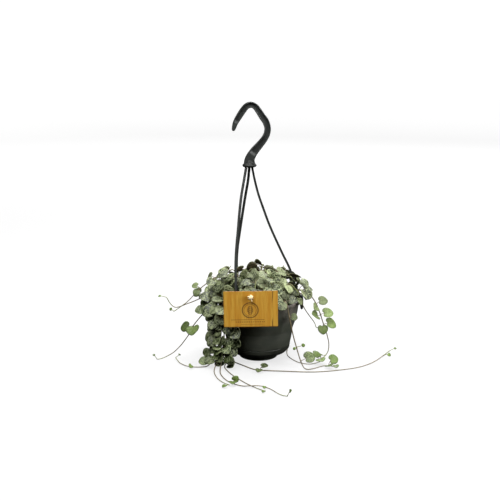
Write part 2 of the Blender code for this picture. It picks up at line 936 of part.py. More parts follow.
def vine_plan():
    """Every vine's name, route in metres, pairs of leaves and whether it faces the front."""
    plan = [(name, route, pairs, True) for name, (route, pairs) in TRAILING.items()]
    for i, settings in enumerate(CURTAINS):
        route = curtain(*settings)
        plan.append((f"vine_rim_{i + 1}", route, even_pairs(route, 18.0, 11.0, 22.0, 23.0), False))
    for i, settings in enumerate(DOMES):
        route = dome(*settings)
        plan.append((f"vine_mound_{i + 1}", route, even_pairs(route, 21.0, 17.0, 26.0, 18.0), False))
    return [(name, MM * np.array(route, float), pairs, front) for name, route, pairs, front in plan]


# Vines: leaves


def blade_outline(size, grow):
    """A heart's outline round its centre: a circle drawn out at the tip, notched and squared at the neck."""
    half = LARGE_HALF if size * BLADE_SPAN > LARGE_BLADE else SMALL_HALF
    angles = np.radians([0.0, *half, 180.0, 180.0, *[-a for a in half[::-1]]])
    off_tip = np.abs(angles)
    reach = 1.0 + TIP_REACH * np.exp(-((off_tip / 0.42) ** 2))
    reach -= NOTCH_DEPTH * np.exp(-(((math.pi - off_tip) / 0.40) ** 2))
    outline = (size + grow) * np.column_stack([reach * np.cos(angles), 1.06 * reach * np.sin(angles)])
    neck = len(half) + 1
    outline[neck, 1], outline[neck + 1, 1] = NECK_HALF, -NECK_HALF
    return outline


def blade_surface(leaf, grow=0.0, lift=0.0):
    """The blade's points, its tip first, and its two halves in triangles folded along the midrib."""
    size = leaf["length"] / BLADE_SPAN
    flat = blade_outline(size, grow)
    rise = FOLD * np.abs(flat[:, 1]) - ARCH * flat[:, 0] ** 2 / size
    along = flat[:, :1] + NECK_AT * size
    points = leaf["neck"] + along * leaf["tip"] + flat[:, 1:] * leaf["side"]
    points = points + (rise + lift)[:, None] * leaf["normal"]
    count = len(points)
    neck = count // 2
    faces = [(neck, i, i + 1) for i in range(neck - 1)]
    faces += [(neck + 1, i, (i + 1) % count) for i in range(neck + 2, count)]
    faces.append((neck, neck + 1, 0))
    return points, faces


def outward(place):
    """The way a leaf faces: out of the dome, out from the wall or up off the ground."""
    if place[2] > 0.080:
        flat = unit(np.array([place[0], place[1], 0.0]) + TOP_FACES)
        return unit(flat + MOUND_RISE)
    if place[2] < 0.012:
        return unit(np.array([0.1 * np.sign(place[0]), -0.35, 1.0]))
    return unit(np.array([place[0], place[1], 0.45 * np.hypot(place[0], place[1])]))


def propose(place, along, facing, sign, length, draw):
    """One try at a leaf: where its neck is and how its blade is turned."""
    side = unit(np.cross(along, facing)) * sign
    stray = draw.normal(0.0, 1.0, (3, 3))
    stalk = draw.uniform(3.6, 9.5) * MM
    way = unit(side * 0.85 + facing * draw.uniform(0.15, 0.9) + along * 0.25 + 0.30 * stray[0])
    fall = np.array([0.0, 0.0, -1.0]) + 0.8 * unit(np.array([place[0], place[1], 0.0]) + 1e-6)
    tip = unit(0.60 * side + draw.uniform(0.2, 1.0) * unit(fall) + 0.35 * way + 0.25 * stray[1])
    tip = unit(tip + max(0.0, STALK_LINE - np.dot(tip, way)) * 1.4 * way)
    normal = facing + 0.30 * stray[2]
    normal = unit(normal - tip * np.dot(normal, tip))
    return {
        "root": place,
        "neck": place + stalk * way,
        "tip": tip,
        "normal": normal,
        "side": np.cross(normal, tip),
        "length": length * draw.uniform(0.82, 1.08),
    }


def tube_points(path, radius, sides=4):
    """Points and faces of a plain open tube, for the room that a stem takes."""
    direction = np.gradient(path, axis=0)
    direction /= np.linalg.norm(direction, axis=1)[:, None]
    start = np.cross(direction, [0.31, 0.53, 0.79])
    start /= np.linalg.norm(start, axis=1)[:, None]
    other = np.cross(direction, start)
    turn = 2 * np.pi * np.arange(sides) / sides
    ring = start[:, None] * np.cos(turn)[:, None] + other[:, None] * np.sin(turn)[:, None]
    points = (path[:, None] + radius * ring).reshape(-1, 3)
    faces = []
    for i in range(len(path) - 1):
        for j in range(sides):
            k = (j + 1) % sides
            low, high = i * sides, (i + 1) * sides
            faces.append((low + j, low + k, high + k, high + j))
    return points, faces


class Room:
    """The space that is taken: stems and fixed pieces, then leaves as they grow."""

    def __init__(self):
        self.fixed_points = []
        self.fixed_faces = []
        self.owners = []
        self.leaves = []

    def add_fixed(self, points, faces, owner):
        start = sum(len(p) for p in self.fixed_points)
        self.fixed_points.append(np.asarray(points, float))
        self.fixed_faces += [tuple(start + i for i in f) for f in faces]
        self.owners += [owner] * len(faces)

    def close(self):
        points = np.vstack(self.fixed_points).tolist()
        self.fixed = BVHTree.FromPolygons(points, self.fixed_faces)

    def shapes(self, leaf):
        """The leaf's blade and petiole, grown by the clearance, as two search trees."""
        lift = BLADE_THICKNESS / 2 + CLEAR
        upper, faces = blade_surface(leaf, CLEAR, lift)
        lower, _ = blade_surface(leaf, CLEAR, -lift)
        count = len(upper)
        rim = [(i, (i + 1) % count, (i + 1) % count + count, i + count) for i in range(count)]
        sheets = [*faces, *[tuple(i + count for i in f) for f in faces], *rim]
        points = np.vstack([upper, lower])
        blade = BVHTree.FromPolygons(points.tolist(), sheets)
        start = leaf["root"] + 1.6 * STEM_RADIUS * unit(leaf["neck"] - leaf["root"])
        stalk_points, stalk_faces = tube_points(
            np.array([start, leaf["neck"]]), PETIOLE_RADIUS + CLEAR, 3
        )
        stalk = BVHTree.FromPolygons(stalk_points.tolist(), stalk_faces)
        return blade, stalk, points

    def fits(self, leaf, owner):
        blade, stalk, points = self.shapes(leaf)
        if points[:, 2].min() < 0.0004:
            return False
        radius = np.hypot(points[:, 0], points[:, 1])
        if np.any((points[:, 2] < RIM_Z + 0.001) & (radius < pot_radius(points[:, 2]) + 0.001)):
            if np.any((radius > 0.052) | (points[:, 2] < SOIL_Z + 0.003)):
                return False
        if blade.overlap(self.fixed):
            return False
        if any(self.owners[j] != owner for _, j in stalk.overlap(self.fixed)):
            return False
        centre = points.mean(axis=0)
        reach = leaf["length"] + 0.010
        for other in self.leaves:
            if np.linalg.norm(other["centre"] - centre) > reach + other["reach"]:
                continue
            if blade.overlap(other["blade"]) or blade.overlap(other["stalk"]):
                return False
            if stalk.overlap(other["blade"]):
                return False
            if other["owner"] != owner and stalk.overlap(other["stalk"]):
                return False
        taken = {"centre": centre, "reach": reach, "blade": blade, "stalk": stalk, "owner": owner}
        self.leaves.append(taken)
        return True


def pot_radius(heights):
    outside = pot_outside()
    return np.interp(heights, [z for _, z in outside[::-1]], [r for r, _ in outside[::-1]])


def fill_room(plan):
    """The fixed pieces and every stem, before the first leaf."""
    room = Room()
    rings = np.array([(r, z) for r, z in pot_outside()])
    turn = 2 * np.pi * np.arange(36) / 36
    wall = np.array([(r * math.cos(a), r * math.sin(a), z) for r, z in rings for a in turn])
    wall_faces = [
        (i * 36 + j, i * 36 + (j + 1) % 36, (i + 1) * 36 + (j + 1) % 36, (i + 1) * 36 + j)
        for i in range(len(rings) - 1)
        for j in range(36)
    ]
    room.add_fixed(wall, wall_faces, "pot")
    for i, route in enumerate(STRAND_ROUTES):
        path = smooth_path(MM * np.array(route), 0.0105)
        room.add_fixed(*tube_points(path, STRAND_RADIUS + CLEAR, 6), f"strand {i}")
        turned_clip = Matrix.Rotation(math.radians(CLIP_AZIMUTHS[i]), 3, "Z")
        low, high = (0.0540, -CLIP_WIDTH / 2, 0.0700), (0.0655, CLIP_WIDTH / 2, 0.0916)
        room.add_fixed(*box_points(low, high, turned_clip), f"clip {i}")
    tag = tag_matrix()
    half = (TAG_WIDTH / 2 + CLEAR, TAG_THICKNESS / 2 + CLEAR, TAG_HEIGHT / 2 + CLEAR)
    points, faces = box_points([-h for h in half], half, Matrix.Identity(3))
    room.add_fixed([tag @ Vector(p) for p in points], faces, "tag")
    tie = smooth_path(MM * np.array(tie_route()), 0.0022)
    room.add_fixed(*tube_points(tie, TWINE_RADIUS + CLEAR, 4), "tie")
    knot = np.array(MM * tie_route()[0])
    room.add_fixed(*box_points(knot - 0.0055, knot + 0.0055, Matrix.Identity(3)), "knot")
    for name, route, *_ in plan:
        room.add_fixed(*tube_points(stem_path(route), STEM_RADIUS + CLEAR, 4), name)
    room.close()
    return room


def box_points(low, high, turn):
    corners = [
        turn @ Vector((x, y, z)) for x in (low[0], high[0]) for y in (low[1], high[1]) for z in (low[2], high[2])
    ]
    faces = [(0, 1, 3, 2), (4, 6, 7, 5), (0, 4, 5, 1), (2, 3, 7, 6), (0, 2, 6, 4), (1, 5, 7, 3)]
    return np.array([tuple(c) for c in corners]), faces


def on_stem(route, station):
    """The point on the thinned stem nearest to a place counted in points of its route, and the way there."""
    path = even_steps(stem_path(route), 0.5 * MM)
    ends = np.vstack([2 * route[0] - route[1], route, 2 * route[-1] - route[-2]])
    i = min(int(station), len(route) - 2)
    t = station - i
    a, b, c, d = ends[i : i + 4]
    wanted = 0.5 * (2 * b + (c - a) * t + (2 * a - 5 * b + 4 * c - d) * t**2 + (3 * b - a - 3 * c + d) * t**3)
    nearest = int(np.linalg.norm(path - wanted, axis=1).argmin())
    return path[nearest], unit(np.gradient(path, axis=0)[nearest])


def grow(plan):
    """Leaves for every vine, pair by pair, each at the first try that is clear of all others."""
    room = fill_room(plan)
    grown = {vine[0]: [] for vine in plan}
    stands = [
        (k, v, *pair)
        for v, (_, _, pairs, _) in enumerate(plan)
        for k, pair in enumerate(pairs)
    ]
    for k, v, station, length, *side in sorted(stands):
        name, route, _, to_front = plan[v]
        place, along = on_stem(route, station)
        facing = outward(place)
        if to_front:
            facing = unit(facing + FRONT_SHARE * TOWARDS_FRONT)
        for sign in side or (1, -1):
            draw = np.random.default_rng([SEED, v, k, int(sign > 0)])
            for _ in range(TRIES):
                leaf = propose(place, along, facing, sign, MM * length, draw)
                if room.fits(leaf, name):
                    grown[name].append(leaf)
                    break
    return grown


def leaf_solid(name, leaf, collection):
    """A blade with a thickness, whose neck is drawn out as a petiole to the stem's middle."""
    points, faces = blade_surface(leaf, 0.0, BLADE_THICKNESS / 2)
    sheet = bmesh.new()
    corners = [sheet.verts.new(p) for p in points]
    for face in faces:
        sheet.faces.new([corners[i] for i in face])
    sheet.normal_update()
    bmesh.ops.solidify(sheet, geom=sheet.faces[:], thickness=BLADE_THICKNESS)
    neck = Vector(leaf["neck"])
    edge_faces = [f for f in sheet.faces if len(f.verts) == 4]
    end = min(edge_faces, key=lambda f: (f.calc_center_median() - neck).length)
    drawn = bmesh.ops.extrude_discrete_faces(sheet, faces=[end])["faces"][0]
    middle = drawn.calc_center_median()
    for corner in drawn.verts:
        corner.co = Vector(leaf["root"]) + ROOT_TAPER * (corner.co - middle)
    bmesh.ops.recalc_face_normals(sheet, faces=sheet.faces[:])
    data = bpy.data.meshes.new(name)
    sheet.to_mesh(data)
    sheet.free()
    return add_object(name, data, collection)


def make_vine(name, route, leaves, section, collection, cutters, material):
    stem = as_mesh(tube(name, stem_path(route), STEM_RADIUS, collection, section=section))
    pieces = new_collection(f"{name} leaves", cutters)
    for i, leaf in enumerate(leaves):
        leaf_solid(f"{name}_leaf_{i + 1}", leaf, pieces)
    vine = joined(stem, pieces)
    vine.data.materials.clear()
    vine.data.materials.append(material)
    return vine


def main():
    clear_scene()
    scene_root = bpy.context.scene.collection
    parts = new_collection("potted string of hearts", scene_root)
    cutters = new_collection("cutters", scene_root)
    black = finish("pot black", (0.022, 0.024, 0.022), 0.55)
    gloss = finish("saucer black", (0.010, 0.011, 0.011), 0.35)
    hanger = finish("hanger black", (0.022, 0.026, 0.026), 0.45)
    earth = finish("soil", (0.030, 0.018, 0.010), 0.95, 0.2)
    wood = finish("tag wood", (0.52, 0.28, 0.03), 0.6)
    twine = finish("twine", (0.72, 0.58, 0.38), 0.9)
    foliage = finish("foliage", (0.17, 0.24, 0.13), 0.5)

    plan = vine_plan()
    grown = grow(plan)
    section = ring_section("stem_section", STEM_RADIUS, STEM_SIDES, cutters)
    for name, route, *_ in plan:
        make_vine(name, route, grown[name], section, parts, cutters, foliage)
    make_tie(parts, cutters, twine)
    section = ring_section("strand_section", STRAND_RADIUS, STRAND_SIDES, cutters)
    for index in range(len(STRAND_ROUTES)):
        make_strand(index, section, parts, cutters, hanger)
    make_tag(parts, cutters, wood)
    make_hook(parts, cutters, hanger)
    make_pot(parts, cutters, black)
    make_saucer(parts, gloss)
    make_soil(parts, cutters, earth, [route[0][:2] for _, route, *_ in plan])


main()
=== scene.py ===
"""Looks of a potted string of hearts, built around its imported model.

The model's stems, leaves, pot, saucer, soil, hanger, tag and twine are replaced by finer pieces of the
same sizes. The model's leaves keep their places, apart from the few that hang in front of a strand, and
further leaves grow between them by the same rule.
"""

import logging
import math
from dataclasses import dataclass, field, replace
from enum import Enum
from functools import reduce
from itertools import combinations
from typing import Iterable, Sequence

import bpy
import numpy as np
from mathutils import Matrix, Vector
from numpy.linalg import norm
from numpy.random import Generator, default_rng


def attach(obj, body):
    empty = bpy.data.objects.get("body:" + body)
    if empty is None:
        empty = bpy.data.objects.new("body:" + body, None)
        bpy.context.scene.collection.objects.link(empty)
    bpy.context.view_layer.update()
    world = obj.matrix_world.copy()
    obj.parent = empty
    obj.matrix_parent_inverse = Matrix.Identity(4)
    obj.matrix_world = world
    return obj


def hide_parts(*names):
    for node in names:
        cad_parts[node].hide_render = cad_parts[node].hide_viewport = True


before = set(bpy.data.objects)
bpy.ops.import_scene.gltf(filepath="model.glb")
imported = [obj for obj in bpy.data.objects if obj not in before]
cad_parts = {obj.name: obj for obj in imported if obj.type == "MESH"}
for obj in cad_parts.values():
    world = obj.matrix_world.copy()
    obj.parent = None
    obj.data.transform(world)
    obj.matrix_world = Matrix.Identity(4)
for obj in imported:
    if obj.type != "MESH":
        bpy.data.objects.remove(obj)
log = logging.getLogger("string of hearts")

Array = np.ndarray
Colour = tuple[float, float, float]
Point = tuple[float, float, float]
Material, Piece, Socket = bpy.types.Material, bpy.types.Object, bpy.types.NodeSocket
Feed = Socket | float | Sequence[float] | None

MM = 0.001
SEED = 5977
BODY = "root"

# A leaf's length over its circle's radius, its middle's distance from the neck, its width and its arch
SPAN, NECK_AT, WIDER, ARCH = 2.03, 0.54, 1.06, 0.10


class Slot(Enum):
    """The record's material slots."""

    POT = "pot_black"
    SAUCER = "saucer_black"
    HANGER = "hanger_black"
    SOIL = "soil"
    TAG = "tag_wood"
    TWINE = "twine"
    FOLIAGE = "foliage"


# Numbers and paths


def unit(vectors: Array) -> Array:
    """Each vector divided by its own length, along the last axis."""
    return vectors / np.maximum(norm(vectors, axis=-1, keepdims=True), 1e-9)


def polar(azimuth: float, radius: float, height: float) -> Point:
    """The point at an azimuth in degrees from +X, a radius and a height, in millimetres."""
    turn = math.radians(azimuth)
    return (radius * math.cos(turn), radius * math.sin(turn), height)


def run_along(path: Array) -> Array:
    """The distance from the path's start to each of its points."""
    return np.concatenate([[0.0], np.cumsum(norm(np.diff(path, axis=0), axis=1))])


def headings(path: Array) -> Array:
    """The path's direction at each of its points."""
    return unit(np.gradient(path, axis=0))


def even_steps(path: Array, spacing: float) -> Array:
    """The path read again at even steps.

    Args:
        path: Points along a line, whose first three columns are kept.
        spacing: The wished distance between two points.

    Returns:
        Points at the nearest even spacing, at least four of them.
    """
    run = run_along(path)
    count = max(int(round(run[-1] / spacing)), 3) + 1
    at = np.linspace(0.0, run[-1], count)
    return np.column_stack([np.interp(at, run, path[:, k]) for k in range(3)])


def with_ends(points: Array) -> Array:
    """The points with one more before and behind them, each as far on as the last step goes."""
    return np.vstack([2 * points[0] - points[1], points, 2 * points[-1] - points[-2]])


def cubic(points: Sequence[Array], t: Array | float) -> Array:
    """The cubic from the second of four points to the third, whose slopes follow their neighbours."""
    a, b, c, d = points
    return 0.5 * (2 * b + (c - a) * t + (2 * a - 5 * b + 4 * c - d) * t**2 + (3 * b - a - 3 * c + d) * t**3)


def smooth_path(points: Sequence, spacing: float) -> Array:
    """A curve of cubics through all points, read at even steps.

    Args:
        points: The points that the curve passes through.
        spacing: The distance between two points of the result.

    Returns:
        Points along the curve.
    """
    inner = np.asarray(points, float)
    ends = with_ends(inner)[:, None]
    t = np.linspace(0.0, 1.0, 12, endpoint=False)[None, :, None]
    curve = cubic((ends[:-3], ends[1:-2], ends[2:-1], ends[3:]), t)
    return even_steps(np.vstack([curve.reshape(-1, inner.shape[1]), inner[-1:]]), spacing)


def thinned(path: Array, slack: float) -> Array:
    """The path with only the points it needs to stay within a slack of its full line.

    Args:
        path: Points along a line.
        slack: The most that the thinned line may lie off the full one.

    Returns:
        Some of the path's points, its ends among them.
    """
    run = path[-1] - path[0]
    share = ((path - path[0]) @ run) / max(run @ run, 1e-12)
    off = norm(path - path[0] - share[:, None] * run, axis=1)
    worst = int(off.argmax())
    if off[worst] < slack or len(path) < 3:
        return path[[0, -1]]
    return np.vstack([thinned(path[: worst + 1], slack)[:-1], thinned(path[worst:], slack)])


def eased(outline: Sequence, radius: float, steps: int = 3, closed: bool = False) -> Array:
    """An outline, or a row of outlines, whose corners are rounded.

    Each corner gives way to a parabola that leaves the one side and meets the other at a distance from
    the corner, which is the radius or just under half of the shorter side.

    Args:
        outline: The outline's corners in two columns, or an array of such outlines.
        radius: How far from its corner a rounding starts.
        steps: How many stretches a rounding has.
        closed: Whether the last corner meets the first, or both ends stay as they are.

    Returns:
        The rounded outline's points.
    """
    line = np.asarray(outline, float)
    if closed:
        corner, back, ahead = line, np.roll(line, 1, axis=-2), np.roll(line, -1, axis=-2)
    else:
        corner, back, ahead = line[..., 1:-1, :], line[..., :-2, :], line[..., 2:, :]
    to_back, to_ahead = back - corner, ahead - corner
    shorter = np.minimum(norm(to_back, axis=-1), norm(to_ahead, axis=-1))
    reach = np.minimum(radius, 0.46 * shorter)[..., None]
    start, end = corner + unit(to_back) * reach, corner + unit(to_ahead) * reach
    t = np.linspace(0.0, 1.0, steps + 1)[:, None]
    start, middle, end = start[..., None, :], corner[..., None, :], end[..., None, :]
    curve = (1 - t) ** 2 * start + 2 * t * (1 - t) * middle + t**2 * end
    curve = curve.reshape(*line.shape[:-2], -1, 2)
    return curve if closed else np.concatenate([line[..., :1, :], curve, line[..., -1:, :]], axis=-2)


# Meshes


@dataclass
class Shell:
    """Points, faces and point values of one closed surface or of several."""

    points: Array
    faces: list[Array]
    values: dict[str, Array] = field(default_factory=dict)
    finish: int = 0

    def volume(self) -> float:
        """Six times the signed volume, positive where the faces point outwards."""
        total = 0.0
        for faces in self.faces:
            first = self.points[faces[:, 0]]
            for k in range(1, faces.shape[1] - 1):
                second, third = self.points[faces[:, k]], self.points[faces[:, k + 1]]
                total += float(np.einsum("ij,ij->", first, np.cross(second, third)))
        return total

    def outward(self) -> "Shell":
        """The same shell with its faces turned outwards."""
        if self.volume() < 0.0:
            self.faces = [faces[:, ::-1] for faces in self.faces]
        return self


def grid_faces(rows: int, columns: int, closed_rows: bool = False) -> Array:
    """The quads of a grid that is closed along its columns.

    Args:
        rows: How many rows of points there are.
        columns: How many points a row has.
        closed_rows: Whether the last row meets the first.

    Returns:
        One quad for each cell, as four point numbers.
    """
    row, column = np.mgrid[: rows if closed_rows else rows - 1, :columns]
    after_row, after_column = (row + 1) % rows, (column + 1) % columns
    corners = [(row, column), (row, after_column), (after_row, after_column), (after_row, column)]
    return np.stack([r * columns + c for r, c in corners], axis=-1).reshape(-1, 4)


def fan_faces(centre: int, first: int, columns: int) -> Array:
    """The triangles from a centre point to a ring that starts at a point number."""
    j = np.arange(columns)
    return np.column_stack([np.full(columns, centre), first + j, first + (j + 1) % columns])


def turned(profile: Array, steps: int, centre: tuple[float, float] = (0.0, 0.0)) -> Shell:
    """A profile carried round an upright axis.

    A point of the profile at radius r and height z goes to r cos a, r sin a, z for each angle a.

    Args:
        profile: Radius and height, from one point on the axis to another.
        steps: How many stretches go round.
        centre: Where the axis stands, as X and Y.

    Returns:
        The closed shell.
    """
    angle = 2 * np.pi * np.arange(steps) / steps
    radius, height = profile[1:-1, 0], profile[1:-1, 1]
    x, y = radius[:, None] * np.cos(angle) + centre[0], radius[:, None] * np.sin(angle) + centre[1]
    rings = np.stack([x, y, np.repeat(height[:, None], steps, axis=1)], axis=-1)
    poles = [[*centre, profile[0, 1]], [*centre, profile[-1, 1]]]
    points = np.vstack([rings.reshape(-1, 3), poles])
    count = len(radius) * steps
    faces = [
        grid_faces(len(radius), steps),
        fan_faces(count, 0, steps)[:, ::-1],
        fan_faces(count + 1, count - steps, steps),
    ]
    return Shell(points, faces).outward()


def carried(path: Array, across: Array, above: Array, sections: Array) -> Shell:
    """A section carried along a path, closed with a flat face at both ends.

    A section's point (u, v) at a place of the path goes to the place plus u times the across direction
    plus v times the above direction.

    Args:
        path: Points along the path.
        across: The direction of a section's first number at each point.
        above: The direction of its second number.
        sections: One section for all points, or one for each.

    Returns:
        The closed shell.
    """
    sections = np.broadcast_to(sections, (len(path), *sections.shape[-2:]))
    rings = path[:, None] + sections[..., :1] * across[:, None] + sections[..., 1:] * above[:, None]
    rows, columns = rings.shape[:2]
    last = np.arange((rows - 1) * columns, rows * columns)
    faces = [grid_faces(rows, columns), np.arange(columns)[None, ::-1], last[None]]
    return Shell(rings.reshape(-1, 3), faces).outward()


def steady_sides(path: Array) -> tuple[Array, Array]:
    """Two directions square to a path that turn as little as they can along it.

    Of a few fixed directions the one that is nowhere near the path's own is taken. Its cross product
    with the path's direction is the first side, and the cross product of the two is the second.

    Args:
        path: Points along the path.

    Returns:
        The first and the second side at each point.
    """
    along = headings(path)
    turns = np.arange(24) * 2.4
    heights = np.linspace(-0.95, 0.95, 24)
    flat = np.sqrt(1 - heights**2)
    choices = np.column_stack([flat * np.cos(turns), flat * np.sin(turns), heights])
    clear = norm(np.cross(along[None], choices[:, None]), axis=2).min(axis=1)
    across = unit(np.cross(along, choices[int(clear.argmax())]))
    return across, np.cross(along, across)


def ring_section(sides: int) -> Array:
    """A circle of radius one as a section of few sides."""
    turn = 2 * np.pi * np.arange(sides) / sides
    return np.column_stack([np.cos(turn), np.sin(turn)])


def pipe(path: Array, radius: Array | float, sides: int = 8) -> Shell:
    """A round bar along a path.

    Args:
        path: Points along its middle.
        radius: Its radius, or one for each point.
        sides: How many sides it has.

    Returns:
        The closed shell.
    """
    radius = np.broadcast_to(radius, (len(path),))
    across, above = steady_sides(path)
    return carried(path, across, above, radius[:, None, None] * ring_section(sides))


def joined(shells: Iterable[Shell]) -> Shell:
    """Several shells as one.

    Args:
        shells: The shells, which all hold the same values.

    Returns:
        One shell with all points and faces.
    """
    shells = list(shells)
    starts = np.cumsum([0, *[len(s.points) for s in shells]])
    faces = [f + start for s, start in zip(shells, starts) for f in s.faces]
    values = {k: np.concatenate([s.values[k] for s in shells]) for k in shells[0].values}
    return Shell(np.vstack([s.points for s in shells]), faces, values)


def add_mesh(name: str, shells: Sequence[Shell], finishes: Sequence[Material]) -> Piece:
    """A new object whose mesh holds some shells, smooth shaded.

    Args:
        name: The object's name.
        shells: The shells, each with the number of its finish.
        finishes: The materials by number.

    Returns:
        The object, linked to the scene.
    """
    whole = joined(shells)
    data = bpy.data.meshes.new(name)
    data.from_pydata(whole.points.tolist(), [], [f for faces in whole.faces for f in faces.tolist()])
    numbers = np.concatenate([np.full(sum(map(len, s.faces)), s.finish) for s in shells])
    for material in finishes:
        data.materials.append(material)
    data.polygons.foreach_set("material_index", numbers.astype(np.int32))
    data.polygons.foreach_set("use_smooth", np.ones(len(numbers), bool))
    for key, value in whole.values.items():
        kind = "FLOAT" if value.ndim == 1 else "FLOAT_VECTOR"
        layer = data.attributes.new(key, kind, "POINT")
        layer.data.foreach_set("value" if value.ndim == 1 else "vector", value.astype(np.float32).ravel())
    data.update()
    made = bpy.data.objects.new(name, data)
    bpy.context.scene.collection.objects.link(made)
    return made


def settle(piece: Piece, slot: Slot, *nodes: str) -> Piece:
    """Lets a piece ride on the model's body in place of the nodes that it stands for, which are hidden.

    Args:
        piece: The new piece.
        slot: The record's material slot, which is not used.
        nodes: The model's nodes that the piece replaces.

    Returns:
        The piece.
    """
    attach(piece, BODY)
    if nodes:
        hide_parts(*nodes)
    log.info("%s: %d faces", piece.name, len(piece.data.polygons))
    return piece


def sharpen(piece: Piece, degrees: float) -> None:
    """Keeps the edges sharp whose faces meet at more than an angle."""
    piece.data.set_sharp_from_angle(angle=math.radians(degrees))


def bake(piece: Piece) -> None:
    """Applies a piece's modifiers to its mesh.

    Args:
        piece: The piece.
    """
    made = bpy.data.meshes.new_from_object(piece.evaluated_get(bpy.context.evaluated_depsgraph_get()))
    old = piece.data
    piece.modifiers.clear()
    piece.data = made
    bpy.data.meshes.remove(old)


# Finishes


def paint(colour: Colour) -> tuple[float, float, float, float]:
    """A screen colour from 0 to 255 as the linear colour that shaders take."""
    linear = [c / 12.92 if c <= 0.04045 else ((c + 0.055) / 1.055) ** 2.4 for c in np.array(colour) / 255.0]
    return (*linear, 1.0)


class Nodes:
    """A node tree that is put together node by node."""

    def __init__(self, tree: bpy.types.NodeTree) -> None:
        """Takes the tree that the nodes go into."""
        self.tree = tree

    def put(self, socket: Socket, value: Feed) -> None:
        """Links a socket to another, or sets its value.

        Args:
            socket: The socket.
            value: The other socket, a number, a vector, or a colour as three screen numbers.
        """
        if isinstance(value, Socket):
            self.tree.links.new(value, socket)
        elif socket.type == "RGBA" and len(value) == 3:
            socket.default_value = paint(value)
        else:
            socket.default_value = value

    def node(self, kind: str, feeds: dict | None = None, **settings: str) -> bpy.types.Node:
        """A new node.

        Args:
            kind: The node's type without the ShaderNode in front.
            feeds: What goes into its sockets, by their names or numbers.
            settings: Properties to set on it.

        Returns:
            The node.
        """
        made = self.tree.nodes.new(f"ShaderNode{kind}")
        for key, value in settings.items():
            setattr(made, key, value)
        for key, value in (feeds or {}).items():
            self.put(made.inputs[key], value)
        return made

    def place(self) -> Socket:
        """The point on the object, in metres."""
        return self.node("TexCoord").outputs["Object"]

    def value(self, name: str, vector: bool = False) -> Socket:
        """A value that the mesh holds at its points."""
        return self.node("Attribute", attribute_name=name).outputs["Vector" if vector else "Fac"]

    def parts(self, vector: Socket) -> list[Socket]:
        """The three numbers of a vector."""
        return list(self.node("SeparateXYZ", {0: vector}).outputs)

    def stretched(self, vector: Socket, scale: Point) -> Socket:
        """A vector multiplied number by number."""
        return self.node("Mapping", {"Vector": vector, "Scale": scale}).outputs[0]

    def distance(self, where: Socket, place: Point) -> Socket:
        """How far a point is from a fixed place."""
        return self.node("VectorMath", {0: where, 1: place}, operation="DISTANCE").outputs["Value"]

    def noise(self, where: Socket, scale: float, detail: float = 3.0, rough: float = 0.5) -> Socket:
        """Cloudy noise from 0 to 1, with a scale in clouds a metre and the strength of its finer layers."""
        feeds = {"Vector": where, "Scale": scale, "Detail": detail, "Roughness": rough}
        return self.node("TexNoise", feeds).outputs[0]

    def cells(self, where: Socket, scale: float, feature: str = "F1", jitter: float = 1.0) -> bpy.types.Node:
        """Cells round scattered points, with a scale in cells a metre and how far the points stray."""
        feeds = {"Vector": where, "Scale": scale, "Randomness": jitter}
        return self.node("TexVoronoi", feeds, feature=feature)

    def math(self, action: str, *numbers: Feed) -> Socket:
        """One sum on up to three numbers."""
        return self.node("Math", dict(enumerate(numbers)), operation=action).outputs[0]

    def times(self, *numbers: Feed) -> Socket:
        """The product of numbers."""
        return reduce(lambda first, second: self.math("MULTIPLY", first, second), numbers)

    def most(self, *numbers: Feed) -> Socket:
        """The largest of numbers."""
        return reduce(lambda first, second: self.math("MAXIMUM", first, second), numbers)

    def gap(self, value: Feed, middle: float) -> Socket:
        """How far a number is from a fixed one."""
        return self.math("ABSOLUTE", self.math("ADD", value, -middle))

    def reach(self, x: Feed, y: Feed) -> Socket:
        """The square root of the sum of two squares."""
        return self.math("SQRT", self.math("MULTIPLY_ADD", x, x, self.times(y, y)))

    def step(self, value: Feed, low: float, high: float, start: float = 0.0, end: float = 1.0) -> Socket:
        """A smooth step from a start height to an end height, between two values."""
        feeds = {"Value": value, "From Min": low, "From Max": high, "To Min": start, "To Max": end}
        return self.node("MapRange", feeds, interpolation_type="SMOOTHSTEP").outputs[0]

    def band(self, value: Socket, middle: float, half: float, soft: float = 0.15) -> Socket:
        """1 where a value is within half a width of a middle, and 0 elsewhere, with soft edges."""
        return self.step(self.gap(value, middle), half - soft, half + soft, 1.0, 0.0)

    def mix(self, share: Feed, first: Feed, second: Feed) -> Socket:
        """The first colour where the share is 0 and the second where it is 1."""
        return self.node("Mix", {0: share, 6: first, 7: second}, data_type="RGBA").outputs[2]

    def bump(self, height: Socket, distance: float, strength: float = 1, over: Feed = None) -> Socket:
        """A bumped normal.

        Args:
            height: The height from 0 to 1.
            distance: The depth of a full step, in metres.
            strength: The share of the bump that shows.
            over: A bumped normal that this one adds to.

        Returns:
            The normal.
        """
        feeds = {"Strength": strength, "Distance": distance, "Height": height}
        if over is not None:
            feeds["Normal"] = over
        return self.node("Bump", feeds).outputs[0]


class Coat(Nodes):
    """A material round one Principled shader."""

    def __init__(self, name: str, roughness: float, specular: float = 0.5) -> None:
        """Starts a material.

        Args:
            name: The material's name.
            roughness: The shader's roughness where nothing changes it.
            specular: The shader's specular level.
        """
        self.material = bpy.data.materials.new(name)
        self.material.use_nodes = True
        super().__init__(self.material.node_tree)
        self.shader = self.tree.nodes["Principled BSDF"]
        self.shader.inputs["Roughness"].default_value = roughness
        self.shader.inputs["Specular IOR Level"].default_value = specular

    def done(self, color: Feed, normal: Feed = None, roughness: Feed = None) -> Material:
        """Links the shader's sockets and hands the material over.

        Args:
            color: The base colour.
            normal: The bumped normal, if there is one.
            roughness: The roughness, if it changes over the surface.

        Returns:
            The material.
        """
        for key, value in (("Base Color", color), ("Normal", normal), ("Roughness", roughness)):
            if value is not None:
                self.put(self.shader.inputs[key], value)
        return self.material


